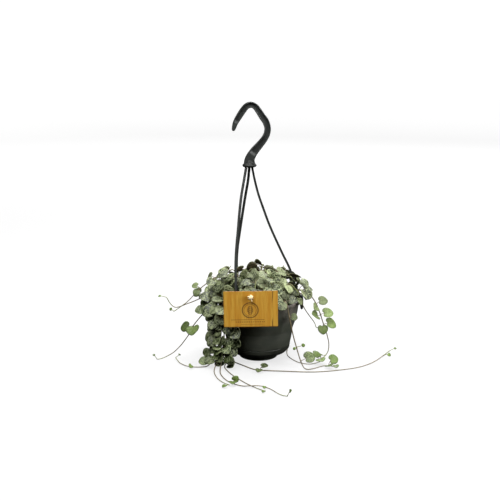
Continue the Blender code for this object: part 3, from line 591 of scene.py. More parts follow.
@dataclass(frozen=True)
class MouldedPlastic:
    """Black plastic with a fine grain, faint streaks of flow, dust in patches and a run of dried soil."""

    name: str
    dark: Colour
    light: Colour
    dust: Colour = (150, 146, 134)
    dust_share: float = 0.25
    dust_from: float = 10.0
    smear_at: Point = (0.0, 0.0, 10.0)
    smear_reach: float = 0.034
    roughness: float = 0.5
    specular: float = 0.5
    grain: float = 0.00004

    def material(self) -> Material:
        """The finish as a material.

        Dust lies where slow noise is high, above a height, where it is thicker, and round the place where
        wet soil has run over the rim.
        """
        coat = Coat(self.name, self.roughness, self.specular)
        where = coat.place()
        flow = coat.noise(coat.stretched(where, (40.0, 40.0, 90.0)), 1.0, 4.0)
        tone = coat.mix(coat.step(flow, 0.3, 0.75), self.dark, self.light)
        patches = coat.noise(where, 70.0, 5.0, 0.65)
        amount = coat.step(patches, 0.5, 0.95, 0.0, self.dust_share)
        high = coat.step(coat.parts(where)[2], self.dust_from - 0.004, self.dust_from + 0.003)
        amount = coat.math("MULTIPLY_ADD", high, 0.30, amount)
        run = coat.step(coat.noise(coat.stretched(where, (160.0, 160.0, 50.0)), 1.0, 4.0), 0.32, 0.62)
        near = coat.step(coat.distance(where, self.smear_at), 0.0, self.smear_reach, 0.9, 0.0)
        amount = coat.math("ADD", amount, coat.times(near, run))
        specks = coat.step(coat.noise(where, 900.0, 2.0), 0.25, 0.7)
        color = coat.mix(coat.times(amount, specks), tone, self.dust)
        rough = coat.step(patches, 0.3, 0.8, self.roughness - 0.06, self.roughness + 0.16)
        normal = coat.bump(coat.noise(where, 2600.0, 2.0), self.grain)
        normal = coat.bump(flow, 0.00006, over=normal)
        return coat.done(color, normal, rough)


@dataclass(frozen=True)
class PottingSoil:
    """Dark crumbly soil with fibres, lighter grit and a few pale grains."""

    name: str
    dark: Colour
    light: Colour
    grit: Colour

    def material(self) -> Material:
        """The finish as a material, whose crumbs are cells and whose tone is noise."""
        coat = Coat(self.name, 0.95, 0.2)
        where = coat.place()
        crumbs = coat.cells(where, 620.0)
        fine = coat.noise(where, 900.0, 6.0, 0.7)
        tone = coat.mix(coat.step(fine, 0.35, 0.75), self.dark, self.light)
        pick = coat.parts(crumbs.outputs["Color"])[0]
        color = coat.mix(coat.step(pick, 0.86, 0.90, 0.0, 0.8), tone, self.grit)
        normal = coat.bump(crumbs.outputs["Distance"], 0.0008, 0.8)
        return coat.done(color, coat.bump(fine, 0.0005, over=normal))


@dataclass(frozen=True)
class SoilCrumb:
    """A crumb's finish, whose tone changes from crumb to crumb."""

    name: str
    dark: Colour
    light: Colour
    pale: Colour

    def material(self) -> Material:
        """The finish as a material that reads each crumb's own tone."""
        coat = Coat(self.name, 0.9, 0.2)
        where = coat.place()
        tone = coat.value("tone")
        fine = coat.noise(where, 1400.0, 4.0, 0.7)
        bark = coat.mix(coat.math("MULTIPLY", tone, fine), self.dark, self.light)
        color = coat.mix(coat.step(tone, 0.92, 0.94), bark, self.pale)
        return coat.done(color, coat.bump(fine, 0.0004))


@dataclass(frozen=True)
class HeartLeaf:
    """The leaves: silver with dark green spots and veins, a pale rim, green while young, dull below."""

    name: str
    green: Colour
    silver: Colour
    young: Colour
    young_light: Colour
    below: Colour
    rim: Colour

    def material(self) -> Material:
        """The finish as a material on the blade's own coordinates.

        The first number runs from the blade's middle to the tip, the second across, and the third is the
        leaf's own number. Dark spots stand in rows that fan out from the neck, so their cells are laid out
        by the angle and the distance from it. Between them run finer veins.
        """
        coat = Coat(self.name, 0.5, 0.3)
        blade = coat.value("blade", vector=True)
        along, across, number = coat.parts(blade)
        age, under, rim, tone, silvered = map(coat.value, ("age", "under", "rim", "tone", "silvered"))
        from_neck = coat.math("ADD", along, NECK_AT)
        reach = coat.reach(from_neck, across)
        angle = coat.math("ARCTAN2", across, from_neck)
        fan = coat.node("CombineXYZ", {0: angle, 1: reach, 2: number}).outputs[0]
        rows = coat.stretched(fan, (2.9, 3.7, 7.3))
        large = coat.cells(rows, 1.0, jitter=0.85).outputs["Distance"]
        small = coat.cells(rows, 2.1, jitter=0.9).outputs["Distance"]
        wide = coat.step(silvered, 0.0, 1.0, 0.70, 0.40)
        spots = coat.step(coat.times(coat.math("SUBTRACT", wide, large), 4.5), 0.0, 1.0)
        flecks = coat.step(small, 0.20, 0.42, 0.75, 0.0)
        network = coat.cells(rows, 1.6, "DISTANCE_TO_EDGE").outputs["Distance"]
        veins = coat.step(network, 0.0, 0.09, 0.45, 0.0)
        midrib = coat.step(coat.gap(across, 0.0), 0.02, 0.08, 0.9, 0.0)
        edge = coat.step(rim, 0.90, 0.99)
        inside = coat.math("MULTIPLY_ADD", edge, -0.6, 1.0)
        dark = coat.times(coat.most(spots, flecks, veins, midrib), inside)
        calm = coat.times(dark, coat.math("MULTIPLY_ADD", age, -0.5, 1.0))
        fresh = coat.mix(calm, self.young_light, self.young)
        fresh = coat.mix(coat.times(coat.step(rim, 0.55, 0.95), 0.6), fresh, self.young)
        top = coat.mix(age, coat.mix(calm, self.silver, self.green), fresh)
        top = coat.mix(coat.times(edge, 0.35), top, self.rim)
        # A leaf's tone sets its value: random from leaf to leaf, and darker on low leaves as painted shade.
        shade = {"Value": coat.step(tone, 0.0, 1.0, 0.50, 1.10), "Color": top}
        top = coat.node("HueSaturation", shade).outputs[0]
        lower = coat.mix(coat.step(coat.noise(blade, 3.0, 3.0), 0.3, 0.7), self.below, self.green)
        lower = coat.mix(coat.times(age, 0.8), lower, self.young)
        color = coat.mix(coat.step(under, 0.35, 0.65), top, lower)
        normal = coat.bump(dark, 0.00018, 0.8)
        normal = coat.bump(coat.noise(coat.place(), 2400.0, 2.0), 0.00004, over=normal)
        return coat.done(color, normal, coat.step(dark, 0.0, 1.0, 0.58, 0.42))


@dataclass(frozen=True)
class Stem:
    """The stems: purplish brown, greener towards their young ends, with short dashes of bark."""

    name: str
    old: Colour
    bark: Colour
    young: Colour

    def material(self) -> Material:
        """The finish as a material that reads the stem's age."""
        coat = Coat(self.name, 0.55)
        where = coat.place()
        spots = coat.noise(where, 900.0, 3.0)
        old = coat.mix(coat.step(spots, 0.35, 0.7), self.old, self.bark)
        young = coat.step(coat.value("age"), 0.35, 1.0)
        color = coat.mix(young, old, self.young)
        return coat.done(color, coat.bump(spots, 0.00008))


@dataclass(frozen=True)
class GrainedTag:
    """A card printed with an upright wood grain, a ring with a leaf in it, a thin rule and rows of dashes.

    Its sizes are millimetres to the right of the card's middle and above it.
    """

    name: str
    base: Colour
    light: Colour
    dark: Colour
    ink: Colour
    edge: Colour
    ring_centre: tuple[float, float] = (-0.9, -1.4)
    ring_radius: float = 10.8
    leaf_shift: float = 5.2
    leaf_reach: float = 9.0

    def leaf_motif(self, coat: Coat, x: Socket, y: Socket) -> Socket:
        """A plain pointed leaf: the overlap of two large circles, less its midrib and slanting veins.

        Args:
            coat: The material's nodes.
            x: The run to the right of the leaf's middle.
            y: The height above it.

        Returns:
            The share of ink.
        """
        shifts = (self.leaf_shift, -self.leaf_shift)
        sides = [coat.reach(coat.math("ADD", x, shift), y) for shift in shifts]
        body = [coat.step(side, self.leaf_reach, self.leaf_reach + 0.5, 1.0, 0.0) for side in sides]
        aside = coat.gap(x, 0.0)
        slant = coat.math("SINE", coat.times(coat.math("MULTIPLY_ADD", aside, -0.9, y), 1.1))
        veins = coat.step(coat.gap(slant, 0.0), 0.15, 0.5)
        return coat.times(*body, coat.step(aside, 0.3, 0.8), veins)

    def printed(self, coat: Coat, u: Socket, v: Socket, lines: Socket) -> Socket:
        """What is printed: a bold ring and a thin one round the leaf, a rule, a row of dashes and a low line.

        Args:
            coat: The material's nodes.
            u: The run to the right of the card's middle.
            v: The height above it.
            lines: The grain, which thins the bold ring.

        Returns:
            The share of ink.
        """
        x, y = (coat.math("ADD", at, -middle) for at, middle in zip((u, v), self.ring_centre))
        off = coat.reach(x, y)
        worn = coat.step(lines, 0.3, 0.55, 0.65)
        bold = coat.times(coat.band(off, self.ring_radius, 0.85, 0.34), worn)
        thin = coat.times(coat.band(off, self.ring_radius - 2.3, 0.35, 0.14), 0.8)
        rule = coat.times(coat.band(v, -15.2, 0.34), coat.band(u, -4.5, 23.0))
        dashes = coat.step(coat.math("SINE", coat.times(u, 2.5)), -0.5, 0.0)
        row = coat.times(coat.band(v, -18.4, 0.8), coat.band(u, -1.0, 20.5), dashes, 0.8)
        low = coat.times(coat.band(v, -21.8, 0.35), coat.band(u, 1.0, 15.0), 0.6)
        return coat.most(bold, thin, self.leaf_motif(coat, x, y), rule, row, low)

    def material(self) -> Material:
        """The finish as a material on the tag's own millimetres.

        The grain is noise stretched upright by about forty, over slow bands. Near the right edge runs a
        pale strip with a broken dark seam, and the card's foot and cut edges are darker.
        """
        coat = Coat(self.name, 0.62, 0.4)
        face = coat.value("card", vector=True)
        u, v, front = coat.parts(face)
        warp = coat.noise(coat.stretched(face, (0.06, 0.03, 1.0)), 1.0, 2.0)
        lines = coat.noise(coat.stretched(face, (1.9, 0.05, 1.0)), 1.0, 5.0, 0.6)
        bands = coat.noise(coat.stretched(face, (0.22, 0.012, 1.0)), 1.0, 3.0)
        color = coat.mix(coat.step(bands, 0.38, 0.64), self.base, self.light)
        color = coat.mix(coat.step(lines, 0.44, 0.66, 0.0, 0.75), color, self.dark)
        right = coat.math("MULTIPLY_ADD", warp, 3.0, u)
        color = coat.mix(coat.times(coat.band(right, 34.5, 2.2, 1.2), 0.55), color, self.light)
        broken = coat.step(coat.gap(v, -1.0), 9.0, 19.0, 0.12, 0.8)
        color = coat.mix(coat.times(coat.band(right, 31.4, 0.7, 0.45), broken), color, self.ink)
        printed = coat.times(self.printed(coat, u, v, lines), coat.step(front, 0.5, 0.9))
        color = coat.mix(coat.times(printed, 0.86), color, self.ink)
        cut = coat.step(coat.gap(front, 0.0), 0.55, 0.80, 1.0, 0.0)
        color = coat.mix(coat.most(cut, coat.step(v, -25.4, -24.6, 0.75, 0.0)), color, self.edge)
        return coat.done(color, coat.bump(lines, 0.00005, 0.7))


@dataclass(frozen=True)
class Twine:
    """Soft pale yarn with fine fibres."""

    name: str
    pale: Colour
    deep: Colour

    def material(self) -> Material:
        """The finish as a material, with fibres from stretched noise."""
        coat = Coat(self.name, 0.9, 0.25)
        where = coat.place()
        fibres = coat.noise(coat.stretched(where, (2400.0, 900.0, 1600.0)), 1.0, 3.0)
        color = coat.mix(coat.step(fibres, 0.35, 0.7), self.deep, self.pale)
        coat.shader.inputs["Sheen Weight"].default_value = 0.3
        return coat.done(color, coat.bump(fibres, 0.0002))


@dataclass(frozen=True)
class StudioWhite:
    """The pale ground and wall of the studio, which come out just white."""

    name: str
    near: float = 0.10
    far: float = 0.85
    glow: float = 0.72

    def material(self) -> Material:
        """The finish as a material, darker near the plant, where the lamps shine most."""
        coat = Coat(self.name, 0.9, 0.1)
        coat.shader.inputs["Emission Color"].default_value = (1.0, 1.0, 1.0, 1.0)
        coat.shader.inputs["Emission Strength"].default_value = self.glow
        away = coat.distance(coat.place(), (0.0, 0.0, 0.0))
        tones = [(tone, tone, tone, 1.0) for tone in (self.near, self.far)]
        return coat.done(coat.mix(coat.step(away, 1.0, 5.0), *tones))


# Pot, saucer and soil


POT_WALL = (
    (60.2, 86), (60.2, 82.8), (58.7, 82.2), (56.9, 69), (53.6, 55), (49.8, 44), (48.3, 32),
    (46.1, 20.5),
)


@dataclass
class Pot:
    """The hanging pot: a rim band, a stepped wall and a spigot with drain holes in its floor."""

    finish: MouldedPlastic
    wall: float = 1.3
    rim_inner: float = 57.8
    rim_top: float = 87.0
    floor: float = 9.6
    drain_holes: int = 5
    drain_radius: float = 3.5
    drain_circle: float = 24.0
    steps: int = 160

    def profile(self) -> Array:
        """Radius and height from the floor's middle up inside, over the rim and down outside."""
        inner = [(r - self.wall, z) for r, z in POT_WALL[:2:-1][1:]] + [(POT_WALL[2][0] - self.wall, 81.0)]
        outline = [
            (0.0, self.floor + self.wall), (32.8, self.floor + self.wall), (39.8, 16.0), *inner,
            (self.rim_inner, 82.2), (self.rim_inner, self.rim_top), (59.5, self.rim_top), *POT_WALL,
            (43.1, 20.5), (41.5, 15.0), (33.5, self.floor), (0.0, self.floor),
        ]
        return MM * eased(outline, 0.6)

    def build(self) -> Piece:
        """The pot, with its drain holes cut."""
        pot = add_mesh("pot_moulded", [turned(self.profile(), self.steps)], [self.finish.material()])
        low, high, radius = 4.0, 16.0, self.drain_radius
        bore = MM * np.array([(0.0, low), (radius, low), (radius, high), (0.0, high)])
        turns = [360.0 * i / self.drain_holes for i in range(self.drain_holes)]
        drill = [turned(bore, 24, polar(turn, MM * self.drain_circle, 0.0)[:2]) for turn in turns]
        cutter = add_mesh("drain_cutter", drill, [])
        cut = pot.modifiers.new("drain holes", "BOOLEAN")
        cut.object, cut.solver = cutter, "EXACT"
        bake(pot)
        bpy.data.objects.remove(cutter)
        sharpen(pot, 40.0)
        return settle(pot, Slot.POT, "pot")


@dataclass
class Saucer:
    """The shallow saucer on its foot, pushed onto the pot's seam."""

    finish: MouldedPlastic
    seam: float = 46.1
    height: float = 20.2
    wall: float = 1.6
    foot: float = 27.8
    steps: int = 160

    def profile(self) -> Array:
        """Radius and height from the inside's middle up to the lip and down to the foot."""
        outline = [
            (0.0, 1.8), (25.2, 1.8), (27.0, 6.6), (36.0, 8.8), (41.4, 12.2),
            (self.seam - self.wall, self.height),
            (self.seam, self.height), (self.seam - 0.8, 14.6), (41.8, 10.2), (36.2, 7.1),
            (self.foot + 1.0, 5.1), (self.foot, 0.0), (0.0, 0.0),
        ]
        return MM * eased(outline, 0.5)

    def build(self) -> Piece:
        """The saucer."""
        saucer = add_mesh("saucer_moulded", [turned(self.profile(), self.steps)], [self.finish.material()])
        return settle(saucer, Slot.SAUCER, "saucer")


@dataclass
class Soil:
    """The plug of soil, with a lumpy top and loose crumbs on it."""

    finish: PottingSoil
    crumb_finish: SoilCrumb
    top: float = 79.0
    crown: float = 1.5
    lump: float = 0.7
    crumbs: int = 420
    spread: float = 53.5
    rng: Generator = field(default_factory=lambda: default_rng(SEED))
    steps: int = 120

    def height(self, radius: Array) -> Array:
        """The smooth height of the top: falling from its crown to the wall, all in millimetres."""
        return np.interp(radius, [0.0, 30.0, 55.7], [self.top + self.crown, self.top, 76.5])

    def lumps(self, x: Array, y: Array) -> Array:
        """The unevenness of the top: a sum of twelve waves of random directions and lengths.

        Args:
            x: Places in X, in millimetres.
            y: Places in Y.

        Returns:
            How far each place is raised.
        """
        ways, phases = self.rng.uniform(0, 2 * np.pi, (2, 12))
        waves = 2 * np.pi / self.rng.uniform(4.0, 14.0, 12)
        turn = x[..., None] * np.cos(ways) + y[..., None] * np.sin(ways)
        return self.lump * np.sin(turn * waves + phases).sum(axis=-1) / 4.0

    def plug(self) -> Shell:
        """The plug: rings of the top, moved up and down by the lumps, over the turned side and floor."""
        radii = np.linspace(55.5, 1.2, 40)
        low = [(0, 11.2), (31.6, 11.2), (38.5, 16.5), (46.5, 32), (48, 44), (51.8, 55), (55.1, 69)]
        rows = [*low, (55.7, 75.6), *zip(radii, self.height(radii) - 0.4), (0.0, self.top + self.crown)]
        shell = turned(np.array(rows), self.steps)
        x, y, z = shell.points.T
        radius = np.hypot(x, y)
        share = np.clip((56.0 - radius) / 3.0, 0.0, 1.0) * (z > 72.0)
        shell.points[:, 2] += share * (self.lumps(x, y) + self.rng.normal(0.0, 0.12, len(z)))
        shell.points *= MM
        return shell

    def loose(self) -> Shell:
        """The crumbs: twenty-sided lumps, each point moved in or out at random."""
        rng = self.rng
        long = (1 + math.sqrt(5)) / 2
        base = [(s, t * long, 0.0) for s in (-1, 1) for t in (-1, 1)]
        corners = unit(np.array([*base, *[(c, a, b) for a, b, c in base], *[(b, c, a) for a, b, c in base]]))
        near = norm(corners[:, None] - corners[None], axis=2) < 1.2
        triples = [t for t in combinations(range(12), 3) if all(near[a, b] for a, b in combinations(t, 2))]
        first, second, third = (corners[list(k)] for k in zip(*triples))
        inside_out = np.einsum("ij,ij->i", np.cross(second - first, third - first), first) <= 0.0
        outward = [t[::-1] if turn else t for t, turn in zip(triples, inside_out)]
        count = self.crumbs
        radius = self.spread * np.sqrt(rng.uniform(0.0, 1.0, count))
        turn = rng.uniform(0, 2 * np.pi, count)
        middle = np.column_stack([radius * np.cos(turn), radius * np.sin(turn), self.height(radius) + 0.3])
        size = rng.uniform(0.5, 1.5, (count, 1, 1)) * rng.uniform(0.6, 1.3, (count, 1, 3))
        points = middle[:, None] + corners[None] * size * rng.uniform(0.7, 1.2, (count, 12, 1))
        faces = (np.array(outward)[None] + 12 * np.arange(count)[:, None, None]).reshape(-1, 3)
        tone = np.repeat(rng.uniform(0.0, 1.0, count), 12)
        return Shell(MM * points.reshape(-1, 3), [faces], {"tone": tone}, finish=1)

    def build(self) -> Piece:
        """The soil with its crumbs."""
        plug = self.plug()
        plug.values["tone"] = np.zeros(len(plug.points))
        finishes = [self.finish.material(), self.crumb_finish.material()]
        soil = add_mesh("soil_crumbly", [plug, self.loose()], finishes)
        sharpen(soil, 50.0)
        return settle(soil, Slot.SOIL, "soil")


# Hanger


HOOK_LINE = (
    (-35.9, 327.2, 1.7), (-34.6, 331.6, 2.9), (-32.4, 338.6, 3.7), (-27.3, 347.5, 4.3), (-21.4, 356.3, 4.4),
    (-16.9, 361.3, 4.2), (-11.2, 363.4, 4.1), (-5.6, 361.3, 4.1), (-1.2, 356, 4.3), (4.1, 347.9, 4.6),
    (9.4, 340.2, 4.7), (12.1, 331.5, 4.5), (11.1, 323.3, 4.4), (7.2, 315.6, 4.5), (0.6, 307.4, 5),
    (-5.8, 299.8, 5.6), (-10.8, 292.2, 6.3), (-13, 286, 7.2), (-13, 279.5, 8.6),
)

STRAND_ROUTES = (
    (
        (-9.3, 0.6, 276.4), (-5.8, 0.4, 259), (-0.7, 0.2, 239), (5.8, 0, 220), (14.5, 0, 196.1),
        (24.8, 0, 172.4), (35.2, 0, 150), (42.7, 0, 134.9), (48.4, 0, 119.8), (53.4, 0, 103.1),
        (57.4, 0, 90),
    ),
    (
        (-13.2, 4.6, 276.4), (-15.1, 9.9, 256.1), (-18.9, 15.5, 233.2), (-22.5, 21.1, 209.9),
        (-27.1, 28.7, 178.3), (-30.4, 34.5, 154), (-31.9, 40.8, 130), (-31, 46.6, 108),
        (-28.9, 49.9, 90),
    ),
    (
        (-17.7, -3.1, 276.4), (-20.8, -7.9, 258.9), (-24.4, -13.3, 238.1), (-26.8, -18.7, 217.4),
        (-29.2, -26.1, 189.9), (-31.1, -31.6, 169.1), (-32.2, -37.2, 148.7), (-32.2, -43.8, 122),
        (-31, -47.6, 106), (-28.9, -49.9, 90),
    ),
)


@dataclass
class Hanger:
    """The strap hanger: a hook of I section, its collar and three grooved strands with clips.

    A strand's size is its half width, half depth, rib width and half web.
    """

    finish: MouldedPlastic
    thickness: float = 8.6
    web: float = 3.6
    flange: float = 1.6
    pocket: tuple[float, float] = (0.11, 0.86)
    tip_run: float = 1.8
    collar_centre: tuple[float, float] = (-13.0, 0.0)
    collar_height: float = 276.8
    strand_size: tuple[float, ...] = (1.6, 1.35, 0.62, 0.42)
    azimuths: Point = (0.0, 120.0, 240.0)
    clip_width: float = 9.0

    def section(self, half: Array, deep: Array, rib: Array, web: Array) -> Array:
        """I sections: two ribs of full depth joined by a web of less.

        Args:
            half: Half the width of each section.
            deep: Half its depth.
            rib: The width of a rib.
            web: Half the web's depth.

        Returns:
            Twelve corners for each section.
        """
        inner = half - rib
        right = [(half, -deep), (half, deep), (inner, deep), (inner, web)]
        left = [(-inner, web), (-inner, deep), (-half, deep), (-half, -deep)]
        corners = [*right, *left, (-inner, -deep), (-inner, -web), (inner, -web), (inner, -deep)]
        return np.stack([np.stack(np.broadcast_arrays(u, v), axis=-1) for u, v in corners], axis=-2)

    def bar(self) -> Shell:
        """The hook's bar: an I section carried along its line, full at its foot and round at its tip.

        The web is thin only within the pocket's shares of the run, and fades to full depth at both ends.
        """
        line = smooth_path(HOOK_LINE, 0.8)
        half = np.array(line[:, 2])
        path = np.column_stack([line[:, 0], np.zeros(len(line)), line[:, 1]])
        across = np.cross(headings(path), [0.0, 1.0, 0.0])
        share = np.linspace(0.0, 1.0, len(path))
        fade, skin = 0.03, 0.02
        inside = np.minimum(share - self.pocket[0], self.pocket[1] - share)
        open_share = np.clip(inside / fade + 1.0, 0.0, 1.0)
        open_share = open_share**2 * (3 - 2 * open_share)
        deep = np.full(len(path), self.thickness / 2)
        web = deep - skin - open_share * (deep - skin - self.web / 2)
        to_tip = np.clip(run_along(path) / self.tip_run, 0.0, 1.0)
        round_tip = np.sqrt(np.clip(1 - (1 - to_tip) ** 2, 0.02, 1.0))
        half, deep = half * round_tip, deep * (0.45 + 0.55 * round_tip)
        sections = self.section(half, deep, np.minimum(self.flange, 0.6 * half), np.minimum(web, deep - skin))
        above = np.tile([0.0, 1.0, 0.0], (len(path), 1))
        return carried(MM * path, across, above, MM * eased(sections, 0.45, 3, closed=True))

    def collar(self) -> Shell:
        """The collar below the hook, with a rounded rim."""
        z = self.collar_height
        outline = [
            (0.0, z + 10.5), (5.2, z + 10.0), (6.8, z + 6.0), (9.2, z + 4.0), (10.0, z + 3.0), (9.8, z + 1.2),
            (7.8, z), (0.0, z),
        ]
        x, y = self.collar_centre
        return turned(MM * eased(outline, 1.2), 64, (MM * x, MM * y))

    def gusset(self) -> Shell:
        """The flare between bar and collar: a slab that widens downwards, rounded along its edges."""
        heights = np.linspace(self.collar_height + 3.2, self.collar_height + 13.5, 12)
        share = np.linspace(0.0, 1.0, 12)
        half, deep = 9.4 - 3.6 * share**0.6, 4.6 - 0.9 * share
        x, y = self.collar_centre
        path = np.column_stack([x + 1.1 * share**2, np.full(12, y), heights])
        signs = ((1, -1), (1, 1), (-1, 1), (-1, -1))
        corners = np.stack([np.stack([a * half, b * deep], axis=-1) for a, b in signs], axis=1)
        across, above = np.tile([1.0, 0.0, 0.0], (12, 1)), np.tile([0.0, 1.0, 0.0], (12, 1))
        return carried(MM * path, across, above, MM * eased(corners, 2.0, 4, closed=True))

    def strand(self, index: int) -> Shell:
        """A strand: a grooved section carried along its route, with its grooves facing in and out.

        Args:
            index: Its place among the routes.

        Returns:
            The strand.
        """
        path = smooth_path(STRAND_ROUTES[index], 2.2)
        along = headings(path)
        across = unit(np.cross(along, polar(self.azimuths[index], 1.0, 0.0)))
        above = np.cross(across, along)
        sizes = [np.full(len(path), size) for size in self.strand_size]
        sections = eased(self.section(*sizes), 0.22, 2, closed=True)
        return carried(MM * path, above, across, MM * sections)

    def clip(self, index: int) -> Shell:
        """A clip over the rim: its outline carried across its width, drawn in by an edge at both sides.

        Args:
            index: Its strand's place among the routes.

        Returns:
            The clip.
        """
        slot_in, slot_out = 57.8 * math.cos(math.pi / 24) - 0.5, 60.7
        outline = [
            (slot_in, 81.5), (slot_in, 87.4), (slot_out, 87.4), (slot_out, 72.8), (slot_out + 0.8, 70.5),
            (slot_out + 3.0, 71.2), (slot_out + 3.6, 74.0), (slot_out + 3.6, 89.0), (slot_out + 1.8, 91.2),
            (slot_in - 1.2, 91.2), (slot_in - 2.6, 89.5), (slot_in - 2.6, 81.5),
        ]
        loop = eased(outline, 0.7, 3, closed=True)
        step = unit(np.roll(loop, -1, axis=0) - np.roll(loop, 1, axis=0))
        inwards = np.column_stack([step[:, 1], -step[:, 0]])
        half = self.clip_width / 2
        places = np.array([-half, -half + 0.12, -half + 0.4, half - 0.4, half - 0.12, half])
        drawn = np.array([0.35, 0.12, 0.0, 0.0, 0.12, 0.35])
        outwards = np.tile(polar(self.azimuths[index], 1.0, 0.0), (6, 1))
        across = np.array(polar(self.azimuths[index] + 90.0, 1.0, 0.0))
        sections = loop[None] + drawn[:, None, None] * inwards[None]
        upwards = np.tile([0.0, 0.0, 1.0], (6, 1))
        return carried(MM * places[:, None] * across, outwards, upwards, MM * sections)

    def build(self) -> list[Piece]:
        """The hook with its collar, whose darker black is painted shade, and each strand with its clip."""
        material = self.finish.material()
        # Painted shade: the collar takes a darker copy of the hanger's black to hold back the overhead light
        # that its top catches. Its specular is lower too.
        tones = {"dark": (17, 19, 17), "light": (26, 28, 26)}
        dull = replace(self.finish, name="collar black painted shade", specular=0.25, **tones)
        collar = self.collar()
        collar.finish = 1
        hook = add_mesh("hook_moulded", [self.bar(), self.gusset(), collar], [material, dull.material()])
        sharpen(hook, 45.0)
        made = [settle(hook, Slot.HANGER, "hanger_hook")]
        for i in range(len(STRAND_ROUTES)):
            strand = add_mesh(f"strand_moulded_{i + 1}", [self.strand(i), self.clip(i)], [material])
            sharpen(strand, 45.0)
            made.append(settle(strand, Slot.HANGER, f"hanger_strand_{i + 1}"))
        return made


# Tag and tie


@dataclass
class Tag:
    """The card that hangs in front, with its hole."""

    finish: GrainedTag
    width: float = 74.5
    height: float = 52.0
    thickness: float = 1.5
    centre: Point = (-11.2, -73.5, 91.5)
    roll: float = -0.9
    lean: float = 3.0
    hole_radius: float = 2.1
    hole_drop: float = 8.0
    edge: float = 0.35
    pace: float = 1.5
    nick: float = 0.10

    def place(self) -> Matrix:
        """The turn and place of the card, in millimetres."""
        roll = Matrix.Rotation(math.radians(self.roll), 4, "Y")
        lean = Matrix.Rotation(math.radians(self.lean), 4, "X")
        return Matrix.Translation(Vector(self.centre)) @ roll @ lean

    def outline(self) -> Array:
        """The card's outline in many short steps, its corners slightly rounded."""
        x, z = self.width / 2, self.height / 2
        corners = eased([(x, -z), (x, z), (-x, z), (-x, -z)], 0.9, 5, closed=True)
        pairs = zip(corners, np.roll(corners, -1, 0))
        return np.vstack([np.linspace(a, b, 2 + int(np.hypot(*(b - a)) / self.pace))[:-1] for a, b in pairs])

    def hole_place(self) -> Array:
        """The hole's middle on the card."""
        return np.array([0.0, self.height / 2 - self.hole_drop])

    def build(self) -> Piece:
        """The card: rings between the hole and the outline, over the front, the edge and the back.

        A ring's point lies on the ray from the hole's middle to the outline's point, at a share of the
        ray's length between the hole's radius and the outline. The top edge has small nicks, and the card
        bows by 0.25 (x/37)^2 - 0.12 (z/26).
        """
        outline, hole = self.outline(), self.hole_place()
        rays = outline - hole
        length = norm(rays, axis=1)
        shares = np.array([0.0, 0.08, 0.2, 0.36, 0.52, 0.68, 0.84, 1.0])
        half, edge = self.thickness / 2, self.edge
        rows = [(0.0, 0.0, 0.0, 0.0), *[(s, edge, -half, 1.0) for s in shares], (1.0, 0.0, -half + edge, 0.0)]
        rows += [(1.0, 0.0, half - edge, 0.0), *[(s, edge, half, -1.0) for s in shares[::-1]]]
        share, inset, deep, front = (np.array(column)[:, None] for column in zip(*rows))
        reach = (self.hole_radius + inset) * (1 - share) + (length[None] - inset) * share
        flat = hole + unit(rays)[None] * reach[..., None]
        rng = default_rng(SEED + 1)
        every = np.arange(0, len(outline) + 6, 3)
        depths = rng.normal(0.0, self.nick, len(outline) // 3 + 3)[: len(every)]
        nicks = np.interp(np.arange(len(outline)), every, depths)
        at_top = (outline[:, 1] > self.height / 2 - 0.2) * nicks
        flat[..., 1] += at_top[None] * (share > 0.99)
        x, z = flat[..., 0], flat[..., 1]
        bow = 0.25 * (x / 37.0) ** 2 - 0.12 * (z / 26.0)
        local = np.stack([x, np.broadcast_to(deep, x.shape) + bow, z], axis=-1).reshape(-1, 3)
        place = np.array(self.place())
        points = local @ place[:3, :3].T + place[:3, 3]
        card = np.stack([x, z, np.broadcast_to(front, x.shape)], axis=-1).reshape(-1, 3)
        shell = Shell(MM * points, [grid_faces(len(rows), len(outline), closed_rows=True)], {"card": card})
        tag = add_mesh("tag_card", [shell.outward()], [self.finish.material()])
        sharpen(tag, 35.0)
        return settle(tag, Slot.TAG, "tag")


